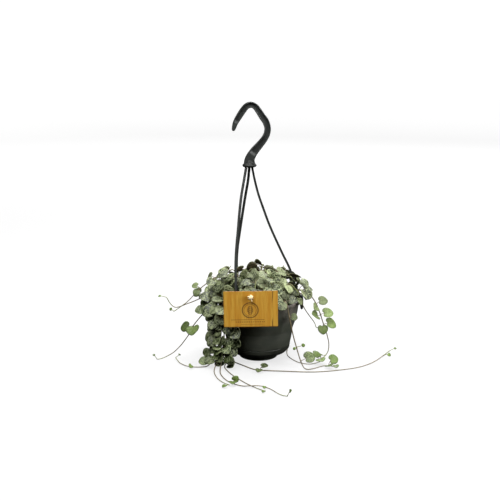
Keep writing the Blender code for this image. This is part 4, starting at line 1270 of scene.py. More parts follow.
@dataclass
class Tie:
    """The twine through the card's hole and round the front strand, with its knot and two tails."""

    finish: Twine
    tag: Tag
    radius: float = 0.9
    loop_radius: float = 3.15
    strand_place: Point = (-30.7, -48.0, 103.5)
    knot_radius: float = 1.35
    knot_turns: tuple[Point, ...] = (
        (8.0, 2.7, 0.0), (62.0, 2.5, 0.5), (-58.0, 2.5, -0.4), (104.0, 2.2, 0.7), (30.0, 2.0, 1.1)
    )
    tails: tuple[tuple[Point, ...], ...] = (
        ((0.6, -0.9, -2.0), (1.5, -1.4, -3.9), (2.0, -1.7, -5.2)),
        ((-1.2, -0.8, 0.8), (-3.0, -1.1, 1.5), (-4.2, -1.4, 1.9)),
    )

    def route(self) -> Array:
        """The twine's route from the knot through the hole and round the strand, in millimetres."""
        x, z = self.tag.hole_place()
        knot = np.array(self.tag.place() @ Vector((x, 0.0, z)))
        start = knot + [(0, -3, 0), (0, 0, 0), (-0.6, 3.6, -0.2), (-5.5, 8.2, -2), (-13, 17.2, -5.4)]
        turns = np.radians([-52.0, 0.0, 50.0, 100.0, 150.0, 200.0])
        loop = np.column_stack([np.cos(turns), np.sin(turns), 0.16 * (turns - 1.0)])
        return np.vstack([start, np.array(self.strand_place) + self.loop_radius * loop])

    def yarn(self, path: Array, radius: float, twist: float = 3.2) -> list[Shell]:
        """Two plies that wind round a path.

        A ply's middle lies half of the yarn's radius off the path, at an angle that grows with the run.

        Args:
            path: The yarn's middle.
            radius: The yarn's outer radius.
            twist: The run of a full turn.

        Returns:
            One shell for each ply.
        """
        first, second = steady_sides(path)
        angle = 2 * np.pi * run_along(path) / twist
        off = 0.48 * radius * (np.cos(angle)[:, None] * first + np.sin(angle)[:, None] * second)
        return [pipe(MM * (path + side * off), MM * 0.54 * radius, 7) for side in (1.0, -1.0)]

    def knot(self, middle: Array) -> list[Shell]:
        """The knot: oval turns of yarn round one another, pulled into a small ball.

        Args:
            middle: The knot's middle.

        Returns:
            The plies of all turns.
        """
        turns = np.linspace(0.0, 2 * np.pi, 32)
        shells: list[Shell] = []
        for tilt, reach, push in self.knot_turns:
            lean = math.radians(tilt)
            long = np.array([math.sin(lean), 0.1, math.cos(lean)])
            deep = np.array([0.5 * math.cos(lean), -1.5, -0.5 * math.sin(lean)])
            loop = middle + np.cos(turns)[:, None] * reach * long + np.sin(turns)[:, None] * deep
            shells += self.yarn(loop + [0.15 * push, -0.35 * push, 0.2 * push], self.knot_radius, 4.2)
        return shells

    def build(self) -> Piece:
        """The twine with its knot and two short tails."""
        route = self.route()
        knot = route[0] + [0.0, -1.2, 0.0]
        shells = self.yarn(smooth_path(route, 0.4), self.radius) + self.knot(knot)
        for points in self.tails:
            tail = smooth_path([knot, *(knot + np.array(points))], 0.35)
            shells += self.yarn(tail, self.radius)
        tie = add_mesh("twine_tied", shells, [self.finish.material()])
        return settle(tie, Slot.TWINE, "tag_tie")


# Vines


ROOT_Z = 73.0
GROUND = 0.95


def over_rim(azimuth: float, root_radius: float = 46.0, height: float = 92.0, out: float = 64.0) -> list:
    """A vine's start: from a hole in the soil up, over the rim and just down its outside.

    Args:
        azimuth: Where it goes over the rim, in degrees from +X.
        root_radius: How far from the pot's axis it leaves the soil.
        height: How high it crosses the rim.
        out: The radius at its last point.

    Returns:
        Five points in millimetres.
    """
    inside = [(root_radius, ROOT_Z), (root_radius + 0.5, 84.0), (54.0, height)]
    outside = [(61.5, height), (out, height - 9.0)]
    return [polar(azimuth, radius, z) for radius, z in inside + outside]


def curtain(azimuth: float, lowest: float, sway: float) -> list:
    """A vine that hangs down outside the pot, swaying along the wall.

    Args:
        azimuth: Where it goes over the rim.
        lowest: How far down it hangs.
        sway: How many degrees it strays at each of its lower points.

    Returns:
        Its points in millimetres.
    """
    drops = [68.0, 50.0, 32.0, 16.0, 5.0]
    tail = [polar(azimuth + sway * (i + 1), 66.5 - 1.5 * i, z) for i, z in enumerate(drops) if z >= lowest]
    return over_rim(azimuth, 46.0, 93.0, 65.5) + tail


def dome(azimuth: float, root_radius: float, top: float, reach: float, drop: float) -> list:
    """A vine that rises out of the soil and arches outwards over the mound.

    Args:
        azimuth: The way that it leans.
        root_radius: How far from the pot's axis it leaves the soil.
        top: The height of its arch.
        reach: How far it leans outwards.
        drop: How far its end hangs below the arch.

    Returns:
        Its points in millimetres.
    """
    low = 86.0
    rise = [(0.0, ROOT_Z), (0.5, low), (0.22 * reach, 0.55 * top + 0.45 * low), (0.55 * reach, top)]
    return [polar(azimuth, root_radius + out, z) for out, z in [*rise, (reach, top - drop)]]


# Each trailing vine's route, of which a point of two numbers lies on the ground, and its leaves as the
# station along the route, the length and perhaps a single side
TRAILING = {
    "vine_left_arch": ([
        polar(190, 28, ROOT_Z), polar(190, 29, 92), (-38, -9, 112), (-56, -18, 123), (-73, -20, 114),
        (-87, -20, 102), (-100, -20, 88), (-110, -20, 80), (-121, -20, 72),
    ], ((1.6, 17), (2.5, 16), (3.4, 14), (4.7, 12.5), (8, 5, 1))),
    "vine_left_curl": ([
        *over_rim(183, 40, 96, 68)[:-1], (-76, -6, 91), (-93, -9, 84), (-104, -10, 80), (-114, -10, 76),
        (-121, -10, 75.5), (-127, -10, 81), (-132, -10, 90),
    ], ((2.2, 17), (3.2, 17), (4.2, 14), (10, 4.5, -1))),
    "vine_left_fall": ([
        *over_rim(197, 44, 93, 68), (-75, -21, 73), (-85, -20, 62), (-94, -20, 50), (-100, -20, 38),
        (-106, -20, 29), (-113, -20, 20), (-122, -20, 11), (-132, -21, 5), (-140, -22, 1.8), (-146, -24, 1.2),
    ], ((2.4, 19), (3.6, 19), (4.9, 17), (7, 19), (14, 5, 1))),
    "vine_left_floor": ([
        *over_rim(212, 45, 93, 66), (-58, -40, 60), (-61, -44, 32), (-65, -48, 10), (-72, -52, 1.6),
        (-80, -55), (-92, -55), (-103, -50), (-112, -39), (-117, -26), (-120, -18, 1.4),
    ], (
        (2.3, 19), (3.3, 20), (4.2, 20), (4.9, 19), (5.6, 17), (6.4, 15), (7.2, 16), (10.2, 9, -1),
        (14, 4.5, 1),
    )),
    "vine_front_inner": ([
        *over_rim(219, 44, 93, 66), (-52, -45.5, 60), (-55, -49, 30), (-59, -54, 8), (-62, -62, 1.4),
        (-62, -76), (-59, -92), (-54, -106), (-47, -117), (-40, -124),
    ], ((2.5, 20), (3.4, 20), (4.2, 20), (4.9, 19), (5.6, 17), (6.5, 17), (13, 7, 1))),
    "vine_front_long": ([
        *over_rim(225, 46, 93, 67), (-48, -51, 58), (-50, -55, 30), (-53, -60, 8), (-54, -67, 1.4),
        (-53, -82), (-48, -99), (-41, -112), (-33, -121), (-22, -129, 1.4), (-12, -132.5, 3.0),
        (-4, -133, 3.4), (4, -132.5, 2.4), (11, -135, 1.1), (17, -142), (24, -154), (30, -161), (36, -164),
    ], (
        (2.2, 20), (3.2, 21), (4.1, 21), (4.8, 20), (5.5, 18), (6.4, 17), (11.6, 11), (16.5, 5, 1),
        (21, 5, -1),
    )),
    "vine_front_outer": ([
        *over_rim(231, 47, 93, 66), (-42, -53, 58), (-43.5, -52, 30), (-46, -52, 8), (-48, -57, 1.6),
        (-44, -70), (-36, -88), (-26, -105), (-17, -119), (-8, -130, 0.80), (0, -139, 0.85), (8, -146),
    ], ((2.4, 20), (3.3, 21), (4.3, 20), (5.1, 21), (6.1, 16), (7, 16), (15, 5, 1))),
    "vine_longest": ([
        *over_rim(175, 44, 93, 65), (-63, 4, 62), (-61, 1, 34), (-57, -5, 10), (-51, -15, 1.8), (-42, -27),
        (-32, -38), (-22, -49), (-11, -61), (-2, -67.5), (10, -69.5), (31, -71.5), (54, -74), (74, -75),
        (96, -72), (117, -66), (133, -60), (148, -51), (165, -34), (180, -11), (193, 11, 1.2),
    ], ((2.5, 18), (3.6, 18), (4.7, 17), (5.7, 15), (13.3, 11), (23.2, 7, 1), (24, 5, 1))),
    "vine_right_floor": ([
        *over_rim(57, 44, 92, 65), (41, 58, 58), (45, 55, 28), (46, 44, 6), (44, 26, 1.2), (42, 8), (43, -8),
        (48, -22), (57, -36), (69, -43), (79, -41), (88, -33),
    ], ((2.4, 17), (3.5, 17), (4.8, 14), (15, 13))),
    "vine_right_straight": ([
        *over_rim(308, 46, 93, 66), (44, -54, 66), (48.5, -55, 46), (53.5, -56, 28), (58.5, -58, 12),
        (63, -62, 3), (68, -64.5), (77, -61.5), (90, -51.5), (99, -50), (109, -55, 1.3),
    ], ((2.3, 17), (3.4, 11, 1), (4.6, 10, -1), (6.9, 5), (8.1, 18, -1), (13, 15), (14, 10, 1))),
    "vine_right_fall": ([
        polar(351, 42, ROOT_Z), polar(351, 44, 92), (58, -10, 101), (70, -12, 97), (78, -12, 89),
        (84, -12, 78), (88.5, -12, 67), (92, -12, 56), (96, -12, 44), (99.5, -12, 33), (102, -12, 21),
        (101, -13, 10), (96, -16, 3), (90, -20, 1.2),
    ], ((1.5, 18), (2.4, 18), (4.9, 15), (6.2, 17), (7.5, 18), (11.8, 5, 1), (13, 9, 1))),
    "vine_right_short": ([
        *over_rim(342, 44, 93, 65), (67, -20, 74), (73, -19, 65), (80, -18, 55), (83, -18, 47),
    ], ((2.2, 17), (8, 5, 1))),
}

# The trailing vines that hang down the pot's wall side by side, at the left
CASCADE = ("vine_left_floor", "vine_front_inner", "vine_front_long", "vine_front_outer", "vine_longest")

# Hanging vines round the rim: azimuth, lowest height and sway along the wall, in degrees a drop
CURTAINS = (
    (168, 16, 1.2), (204, 5, 1.4), (60, 68, 0.5), (93, 32, 0.8), (43, 68, -0.5), (78, 68, -0.6),
    (108, 68, 0.6), (150, 32, 0.5),
)

# Vines inside the mound: azimuth, root radius, height of the arch, reach outwards and drop at the end
DOMES = (
    (272, 38, 110, 28, 8), (254, 38, 108, 26, 6), (264, 20, 123, 32, 10), (292, 18, 125, 34, 12),
    (284, 34, 113, 30, 10), (330, 32, 114, 34, 12), (312, 12, 128, 26, 9), (352, 20, 124, 34, 12),
    (34, 22, 121, 36, 14), (62, 34, 112, 30, 10), (84, 20, 124, 34, 12), (118, 26, 119, 32, 12),
    (160, 20, 125, 36, 14), (208, 22, 124, 36, 12), (296, 8, 133, 18, 3), (240, 7, 131, 18, 4),
    (72, 8, 131, 20, 4),
)

# Their leaves: the first and the last length, the run to the first pair and the run between pairs
CURTAIN_PAIRS, DOME_PAIRS = (18.0, 11.0, 22.0, 23.0), (21.0, 17.0, 26.0, 18.0)


def even_pairs(route: Sequence, first: float, last: float, start: float, spacing: float) -> list[tuple]:
    """Pairs of leaves at an even spacing along a route, with blades that shorten towards its end.

    Args:
        route: The vine's points in millimetres.
        first: The blade length at its start.
        last: The blade length at its end.
        start: The run to the first pair.
        spacing: The run between two pairs.

    Returns:
        The station and the blade length of each pair.
    """
    run = run_along(np.asarray(route, float))
    at = np.append(np.arange(start, run[-1] - 0.5 * spacing, spacing), run[-1])
    return [(float(np.interp(a, run, range(len(run)))), first + (last - first) * a / run[-1]) for a in at]


@dataclass(frozen=True)
class Leaf:
    """A leaf's place: its petiole's root and neck, its blade's tip direction and normal, and its length."""

    root: Array
    neck: Array
    tip: Array
    normal: Array
    length: float

    @property
    def size(self) -> float:
        """The radius of the circle that its heart is drawn from."""
        return self.length / SPAN

    @property
    def across(self) -> Array:
        """The direction across the blade."""
        return np.cross(self.normal, self.tip)


def heart_reach(angle: Array) -> Array:
    """How far a heart's outline is from its middle at an angle from its tip.

    It is a circle drawn out at the tip and notched at the neck: 1 + 0.16 exp(-(a/0.42)^2)
    - 0.46 exp(-((pi-a)/0.40)^2) for the angle a.
    """
    off = np.abs(angle)
    return 1.0 + 0.16 * np.exp(-((off / 0.42) ** 2)) - 0.46 * np.exp(-(((np.pi - off) / 0.40) ** 2))


def heart(angle: Array) -> Array:
    """Points of a heart's outline: along its tip's direction, and 1.06 times as wide across."""
    reach = heart_reach(angle)
    return np.column_stack([reach * np.cos(angle), WIDER * reach * np.sin(angle)])


def blade_rise(x: Array, y: Array, size: Array | float) -> Array:
    """How high a blade's middle surface stands: 0.16 |y|, rounded near the midrib, less 0.10 x^2 / size."""
    return 0.16 * (np.sqrt(y**2 + (0.10 * size) ** 2) - 0.10 * size) - ARCH * x**2 / size


@dataclass
class Vine:
    """One vine: a round stem that tapers, petioles and heart-shaped blades.

    Its route is in metres. Its pairs of leaves are given by the station along the route, the length and
    perhaps a single side.
    """

    name: str
    number: int
    route: Array
    pairs: Sequence
    to_front: bool = False
    leaves: list[Leaf] = field(default_factory=list)
    stem_radius: float = 0.88
    tip_radius: float = 0.55
    petiole_radius: float = 0.45
    spacing: float = 0.0016
    plump: float = 0.42
    around: int = 20
    upper_rings: tuple[float, ...] = (0.50, 0.92)
    lower_rings: tuple[float, ...] = (0.62,)
    full_grown: float = 0.0125
    unfolding: float = 0.0070

    def stem(self) -> Shell:
        """The stem: a pipe that thins over its last three quarters and swells where leaves stand."""
        path = smooth_path(self.route, self.spacing)
        run = run_along(path)
        share = run / run[-1]
        taper = np.clip((share - 0.25) / 0.75, 0, 1)
        radius = self.stem_radius + (self.tip_radius - self.stem_radius) * taper
        roots = np.array([leaf.root for leaf in self.leaves]).reshape(-1, 3)
        if len(roots):
            off = norm(path[:, None] - roots[None], axis=2).min(axis=1)
            radius = radius * (1 + 0.5 * np.exp(-((off / 0.0014) ** 2)))
        radius[-1] *= 0.3
        age = np.clip(1 - (run[-1] - run) / 0.045, 0.0, 1.0)
        return self.with_values(pipe(path, MM * radius, 8), 1, age=np.repeat(age, 8))

    def with_values(self, shell: Shell, finish: int, **values: Array) -> Shell:
        """The shell with the values that its finish reads.

        Args:
            shell: The shell.
            finish: The number of its finish.
            values: A number or a vector, or one for each point, by its name.

        Returns:
            The shell.
        """
        count = len(shell.points)
        bare = dict.fromkeys(("age", "under", "rim", "tone", "silvered"), np.zeros(count))
        whole = {k: np.broadcast_to(v, count) if np.ndim(v) < 2 else v for k, v in values.items()}
        shell.values = {"blade": np.zeros((count, 3)), **bare, **whole}
        shell.finish = finish
        return shell

    def smallness(self, length: Array | float) -> Array:
        """0 for a full-grown leaf's length and 1 for one that unfolds."""
        return np.clip((self.full_grown - length) / (self.full_grown - self.unfolding), 0.0, 1.0)

    def youth(self) -> Array:
        """Each leaf's youth from 0 to 1: small leaves are young, and so are those far from the pot."""
        length = np.array([leaf.length for leaf in self.leaves])
        away = np.array([np.hypot(leaf.root[0], leaf.root[1]) for leaf in self.leaves])
        return np.maximum(self.smallness(length), np.clip((away - 0.070) / 0.030, 0.0, 0.85))

    def natures(self) -> tuple[Array, Array, Array, Array]:
        """The chance of each leaf, with painted shade: the lower a leaf, the darker its tone. Low leaves are
        also less silvered.

        Returns:
            The phase and the depth of its wave, its tone and how silvered it is.
        """
        rng = default_rng([SEED, self.number])
        shape = (len(self.leaves), 1)
        wave, depth = rng.uniform(0.0, 2 * np.pi, shape), rng.uniform(0.01, 0.045, shape)
        height = np.array([leaf.neck[2] for leaf in self.leaves])[:, None]
        # Painted shade: a leaf's tone falls with its height. Low leaves also get less silver and so more dark
        # spots.
        exposed = np.clip((height - 0.02) / 0.09, 0.0, 1.0)
        tone = rng.uniform(0.0, 1.0, shape) * (0.65 + 0.35 * exposed)
        return wave, depth, tone, rng.uniform(0.0, 1.0, shape) * (0.45 + 0.55 * exposed)

    def blades(self) -> Shell:
        """All blades: rings of the outline at shares of its size, above and below, that meet in the rim.

        A point stands at the blade's rise, plus half the thickness times sqrt(1 - s^4) at the ring's
        share s, plus a slow wave. The outline's points stand closer at the tip and at the notch.
        """
        count, around = len(self.leaves), self.around
        up, down = len(self.upper_rings), len(self.lower_rings)
        even = np.linspace(-np.pi, np.pi, around, endpoint=False)
        angle = even - 0.20 * np.sin(2 * even)
        shares = np.array([*self.upper_rings, 1.0, *self.lower_rings[::-1]])
        ring = shares[:, None, None] * heart(angle)[None]
        flat = np.concatenate([ring.reshape(-1, 2), np.zeros((2, 2))])
        s = np.append(np.repeat(shares, around), [0.0, 0.0])
        low = np.append(np.repeat([0.0] * up + [0.3] + [1.0] * down, around), [0.0, 1.0])
        face = np.append(np.repeat([1.0] * up + [0.0] + [-1.0] * down, around), [1.0, -1.0])
        turn = np.append(np.tile(angle, len(shares)), [0.0, 0.0])
        size = np.array([leaf.size for leaf in self.leaves])[:, None]
        x, y = flat[None, :, 0] * size, flat[None, :, 1] * size
        wave, depth, tone, silvered = self.natures()
        rise = blade_rise(x, y, size) + depth * size * s**2 * np.sin(3 * turn + wave)
        rise = (rise + face * MM * self.plump * np.sqrt(np.clip(1 - s**4, 0.0, 1.0)))[..., None]
        keys = ("neck", "tip", "across", "normal")
        frames = np.array([[getattr(leaf, key) for key in keys] for leaf in self.leaves])
        neck, tip, across, normal = (frames[:, None, k] for k in range(4))
        points = neck + (x + NECK_AT * size)[..., None] * tip + y[..., None] * across + rise * normal
        last = (len(shares) - 1) * around
        top, bottom = last + around, last + around + 1
        fans = fan_faces(top, 0, around)[:, ::-1], fan_faces(bottom, last, around)
        starts = len(flat) * np.arange(count)[:, None, None]
        faces = [(f + starts).reshape(-1, f.shape[1]) for f in (grid_faces(len(shares), around), *fans)]
        number = (1.37 * np.arange(count) + 0.31 * self.number)[:, None]
        nature = {"age": self.youth()[:, None], "tone": tone, "silvered": silvered, "under": low, "rim": s}
        nature = {k: np.broadcast_to(v, (count, len(flat))).ravel() for k, v in nature.items()}
        blade = np.stack(np.broadcast_arrays(flat[:, 0], flat[:, 1], number), axis=-1).reshape(-1, 3)
        return self.with_values(Shell(points.reshape(-1, 3), faces).outward(), 0, blade=blade, **nature)

    def petioles(self) -> Iterable[Shell]:
        """The petioles: bowed pipes from the stem's middle to the blade's neck, thinner at the neck."""
        path = smooth_path(self.route, self.spacing)
        t = np.linspace(0.0, 1.0, 7)[:, None]
        radius = MM * self.petiole_radius * np.array([1.5, 1.05, 0.95, 0.9, 0.95, 1.1, 0.5])
        for leaf in self.leaves:
            root = path[int(norm(path - leaf.root, axis=1).argmin())]
            end = leaf.neck + 0.10 * leaf.length * leaf.tip - 0.0002 * leaf.normal
            bow = 0.5 * (root + leaf.neck) - 0.10 * leaf.length * leaf.tip
            line = (1 - t) ** 3 * root + 3 * (1 - t) * t * ((1 - t) * bow + t * leaf.neck) + t**3 * end
            age = 0.25 + 0.75 * self.smallness(leaf.length)
            yield self.with_values(pipe(line, radius, 6), 1, age=age)

    def build(self, finishes: Sequence[Material]) -> Piece:
        """The whole vine as one piece.

        Args:
            finishes: The leaves' finish and the stem's.

        Returns:
            The piece.
        """
        shells = [self.stem(), *self.petioles()]
        if self.leaves:
            shells.append(self.blades())
        return settle(add_mesh(f"{self.name}_grown", shells, finishes), Slot.FOLIAGE, self.name)


@dataclass
class Clearance:
    """What a further leaf has to stay clear of: leaves, stems, strands, twine, tag, pot and ground.

    Sizes are metres. A leaf may be no higher than the top, its lane is the least distance at which it
    passes a strand in the photo's view, and its gap is that to everything.
    """

    tag: Tag
    leaves: list[Leaf]
    lines: Array
    eye: Point
    pitch: float
    top: float = 0.127
    strands_below: float = 0.17
    lane: float = 0.0026
    gap: float = 0.0007
    margin: float = 0.08
    ground: float = 0.0014
    rim: float = 0.0626
    rim_top: float = 0.0895
    mouth: float = 0.0560
    soil_top: float = 0.0825
    card_half: Point = (39.5, 28.0, 3.5)
    leaf_span: float = 0.026
    root_span: float = 0.004

    def __post_init__(self) -> None:
        """Lays out a blade's net of points, and the leaves as arrays."""
        angle = np.linspace(-np.pi, np.pi, 16, endpoint=False)
        self.net = np.vstack([share * heart(angle) for share in (0.4, 0.72, 1.0)])
        self.to_tag = np.array(self.tag.place().inverted())
        routes = np.vstack([smooth_path(MM * np.array(STRAND_ROUTES[i]), MM) for i in (0, 2)])
        self.strands = self.seen(routes[routes[:, 2] < self.strands_below])
        self.frames = np.array([self.frame_of(leaf) for leaf in self.leaves])
        self.clouds = np.array([self.cloud(leaf) for leaf in self.leaves])

    def frame_of(self, leaf: Leaf) -> Array:
        """The leaf's neck, tip direction, cross direction, normal and size, in one row."""
        return np.concatenate([leaf.neck, leaf.tip, leaf.across, leaf.normal, [leaf.size]])

    def cloud(self, leaf: Leaf) -> Array:
        """Points all over a leaf: its blade's net and eight on its petiole.

        Args:
            leaf: The leaf.

        Returns:
            The points, those of the blade first.
        """
        x, y = self.net.T * leaf.size
        rise = np.outer(blade_rise(x, y, leaf.size), leaf.normal)
        blade = leaf.neck + np.outer(x + NECK_AT * leaf.size, leaf.tip) + np.outer(y, leaf.across) + rise
        share = np.linspace(0.15, 1.0, 8)[:, None]
        return np.vstack([blade, leaf.root + share * (leaf.neck - leaf.root)])

    def heights(self, points: Array, frames: Array) -> tuple[Array, Array]:
        """How high points stand over blades, and whether they stand over them at all.

        Args:
            points: Points, in one row for each blade or the same for all.
            frames: The blades' frames.

        Returns:
            The heights, and whether each point is inside the blade's outline.
        """
        neck, tip, across, normal = (frames[:, None, k : k + 3] for k in (0, 3, 6, 9))
        size = frames[:, 12:13]
        off = points - neck
        x, y = (off * tip).sum(-1) - NECK_AT * size, (off * across).sum(-1)
        over = np.hypot(x, y / WIDER) < (heart_reach(np.arctan2(y / WIDER, x)) + self.margin) * size
        return (off * normal).sum(-1) - blade_rise(x, y, size), over

    def crosses(self, points: Array, frames: Array) -> bool:
        """Whether some points stand both above and below a blade, or within the gap of it."""
        height, over = self.heights(points, frames)
        return bool(((over & (height > -self.gap)).any(1) & (over & (height < self.gap)).any(1)).any())

    def off_the_rest(self, points: Array) -> bool:
        """Whether points are off the ground, the pot and the tag, and not in front of the tag.

        Args:
            points: The points.

        Returns:
            Whether all of them are.
        """
        radius, z = np.hypot(points[:, 0], points[:, 1]), points[:, 2]
        in_pot = (z < self.rim_top) & (radius < self.rim) & ~((radius < self.mouth) & (z > self.soil_top))
        x, y, up = ((points / MM) @ self.to_tag[:3, :3].T + self.to_tag[:3, 3]).T
        at_tag = (np.abs(x) < self.card_half[0]) & (np.abs(up) < self.card_half[1]) & (y < self.card_half[2])
        return not (in_pot.any() or at_tag.any() or (z < self.ground).any())

    def seen(self, points: Array) -> Array:
        """Points as the photo's camera has them.

        Args:
            points: The points.

        Returns:
            For each, how far right and up it is over its distance, and the distance.
        """
        off = points - np.array(self.eye)
        turn = math.radians(self.pitch)
        away = off @ [0.0, math.cos(turn), -math.sin(turn)]
        return np.column_stack([off[:, 0] / away, off @ [0.0, math.sin(turn), math.cos(turn)] / away, away])

    def hides_strand(self, leaf: Leaf) -> bool:
        """Whether a leaf hangs in front of a strand, as seen from the photo's side.

        Args:
            leaf: The leaf.

        Returns:
            Whether it does.
        """
        points = self.seen(self.cloud(leaf))
        off = points[:, None] - self.strands
        near = np.hypot(off[..., 0], off[..., 1]) < self.lane / points[:, None, 2]
        return bool((near & (off[..., 2] < 0.0)).any())

    def free(self, leaf: Leaf) -> bool:
        """Whether a leaf is clear of everything, not above the mound and not in front of a strand.

        Args:
            leaf: The leaf.

        Returns:
            Whether it may stand.
        """
        cloud, frame_row = self.cloud(leaf), self.frame_of(leaf)[None]
        if not self.off_the_rest(cloud) or (cloud[:, 2] > self.top).any() or self.hides_strand(leaf):
            return False
        middle = cloud[: len(self.net)].mean(axis=0)
        middles = self.clouds[:, : len(self.net)].mean(axis=1)
        near = norm(middles - middle, axis=1) < self.leaf_span
        if self.crosses(cloud[None], self.frames[near]):
            return False
        if self.crosses(self.clouds[near], np.repeat(frame_row, near.sum(), axis=0)):
            return False
        lines = self.lines[norm(self.lines[:, :3] - middle, axis=1) < self.leaf_span]
        height, over = self.heights(lines[None, :, :3], frame_row)
        if (over[0] & (np.abs(height[0]) < lines[:, 3] + self.gap)).any():
            return False
        stalk = cloud[len(self.net) :]
        far = lines[norm(lines[:, :3] - leaf.root, axis=1) > self.root_span]
        return not (norm(far[:, None, :3] - stalk, axis=2) < far[:, None, 3] + self.gap).any()

    def add(self, leaf: Leaf) -> None:
        """Counts a leaf among those that stand."""
        self.frames = np.vstack([self.frames, self.frame_of(leaf)])
        self.clouds = np.concatenate([self.clouds, self.cloud(leaf)[None]])

    def take(self, leaf: Leaf) -> None:
        """Takes a leaf away from those that stand."""
        stay = norm(self.frames[:, :3] - leaf.neck, axis=1) > 1e-9
        self.frames, self.clouds = self.frames[stay], self.clouds[stay]


@dataclass
class GrowthRule:
    """The model's rule for a leaf's place, which reads the same seeded draws.

    Further leaves, and those bent aside, have draws of their own, seeded from other numbers on.
    """

    tries: int = 120
    more_tries: int = 45
    more_from: int = 100
    aside_from: int = 200
    lift: float = 0.0004
    slack: float = 0.00005
    route_step: float = 0.003
    line_slack: float = 0.0011
    stem_step: float = 0.0005
    mound_from: float = 0.080
    mound_middle: float = 0.0015
    ground_to: float = 0.012
    back_from: float = 0.02

    def outward(self, place: Array) -> Array:
        """The way a leaf faces: out of the dome, up off the ground or out from the wall.

        Args:
            place: Its place on the stem.

        Returns:
            The way.
        """
        if place[2] > self.mound_from:
            return unit(unit(np.array([place[0], place[1] - self.mound_middle, 0.0])) + [0.0, 0.0, 0.75])
        if place[2] < self.ground_to:
            return unit(np.array([0.1 * np.sign(place[0]), -0.35, 1.0]))
        return unit(np.array([place[0], place[1], 0.45 * np.hypot(place[0], place[1])]))

    def propose(
        self, place: Array, along: Array, facing: Array, sign: float, length: float,
        draw: Generator,
    ) -> Leaf:
        """One try at a leaf.

        The petiole leaves to the side, with some of the way the leaf faces and of the stem's. The tip
        leans to the side and falls outwards, and never points back along the petiole.

        Args:
            place: The point on the stem.
            along: The stem's direction.
            facing: The way the leaf faces.
            sign: The side of the stem, 1 or -1.
            length: The wished length of the blade.
            draw: The leaf's own random numbers.

        Returns:
            The leaf of this draw.
        """
        side = unit(np.cross(along, facing)) * sign
        stray = draw.normal(0.0, 1.0, (3, 3))
        stalk = draw.uniform(3.6, 9.5) * MM
        way = unit(side * 0.85 + facing * draw.uniform(0.15, 0.9) + along * 0.25 + 0.30 * stray[0])
        fall = np.array([0.0, 0.0, -1.0]) + 0.8 * unit(np.array([place[0], place[1], 0.0]) + 1e-6)
        tip = unit(0.60 * side + draw.uniform(0.2, 1.0) * unit(fall) + 0.35 * way + 0.25 * stray[1])
        tip = unit(tip + max(0.0, 0.55 - np.dot(tip, way)) * 1.4 * way)
        normal = facing + 0.30 * stray[2]
        normal = unit(normal - tip * np.dot(normal, tip))
        return Leaf(place, place + stalk * way, tip, normal, length * draw.uniform(0.82, 1.08))

    def tip_point(self, leaf: Leaf) -> Array:
        """The blade's upper tip point as the model has it, 1.16 sizes from its middle."""
        far = 1.16
        rise = self.lift - ARCH * far**2 * leaf.size
        return leaf.neck + (far + NECK_AT) * leaf.size * leaf.tip + rise * leaf.normal

    def on_stem(self, route: Array, station: float) -> tuple[Array, Array]:
        """The stem's point nearest to a place on its route.

        Args:
            route: The route in metres.
            station: The place, counted in points of the route.

        Returns:
            The point, and the stem's direction there.
        """
        path = even_steps(thinned(smooth_path(route, self.route_step), self.line_slack), self.stem_step)
        i = min(int(station), len(route) - 2)
        spot = cubic(with_ends(route)[i : i + 4], station - i)
        nearest = int(norm(path - spot, axis=1).argmin())
        return path[nearest], headings(path)[nearest]

    def leaves(self, vine: Vine, corners: Array) -> list[Leaf]:
        """The vine's leaves: of each leaf's tries, the one whose tip the model has.

        Args:
            vine: The vine.
            corners: The points of the model's vine.

        Returns:
            The leaves that the model has.
        """
        found: list[Leaf] = []
        for k, (station, length, *side) in enumerate(vine.pairs):
            place, along = self.on_stem(vine.route, station)
            facing = self.outward(place)
            if vine.to_front:
                facing = unit(facing + 1.3 * np.array([0.0, -0.80, 0.60]))
            for sign in side or (1, -1):
                draw = default_rng([SEED, vine.number, k, int(sign > 0)])
                for _ in range(self.tries):
                    leaf = self.propose(place, along, facing, sign, MM * length, draw)
                    if norm(corners - self.tip_point(leaf), axis=1).min() < self.slack:
                        found.append(leaf)
                        break
        return found

    def bent_aside(self, vine: Vine, clearance: Clearance) -> list[Leaf]:
        """The vine's leaves, of which those in front of a strand are drawn again from the same root.

        Args:
            vine: The vine.
            clearance: What they have to stay clear of, in which they are exchanged.

        Returns:
            As many leaves.
        """
        path = smooth_path(vine.route, MM)
        kept: list[Leaf] = []
        for k, leaf in enumerate(vine.leaves):
            if clearance.hides_strand(leaf):
                along = headings(path)[norm(path - leaf.root, axis=1).argmin()]
                facing = unit(self.outward(leaf.root) + [0.0, -0.7, 0.4])
                sign = float(np.sign(np.dot(leaf.neck - leaf.root, np.cross(along, facing))))
                draw = default_rng([SEED, self.aside_from + vine.number, k])
                clearance.take(leaf)
                for attempt in range(4 * self.more_tries):
                    side = sign if attempt % 3 else -sign
                    other = self.propose(leaf.root, along, facing, side, leaf.length, draw)
                    if clearance.free(other):
                        leaf = other
                        break
                clearance.add(leaf)
            kept.append(leaf)
        return kept

    def more_leaves(self, vine: Vine, pairs: Sequence, clearance: Clearance) -> list[Leaf]:
        """Leaves between those of the model, each the first try that is clear of everything.

        Args:
            vine: The vine.
            pairs: The station and length of each further pair.
            clearance: What they have to stay clear of, to which they are added.

        Returns:
            The leaves that found a place.
        """
        found: list[Leaf] = []
        for k, (station, length) in enumerate(pairs):
            place, along = self.on_stem(vine.route, station)
            facing = self.outward(place)
            if place[1] < self.back_from:
                facing = unit(facing + 0.9 * np.array([0.0, -0.85, 0.5]))
            for side in (0, 1):
                draw = default_rng([SEED, self.more_from + vine.number, k, side])
                for _ in range(self.more_tries):
                    leaf = self.propose(place, along, facing, 1.0 - 2.0 * side, MM * length, draw)
                    if clearance.free(leaf):
                        clearance.add(leaf)
                        found.append(leaf)
                        break
        return found


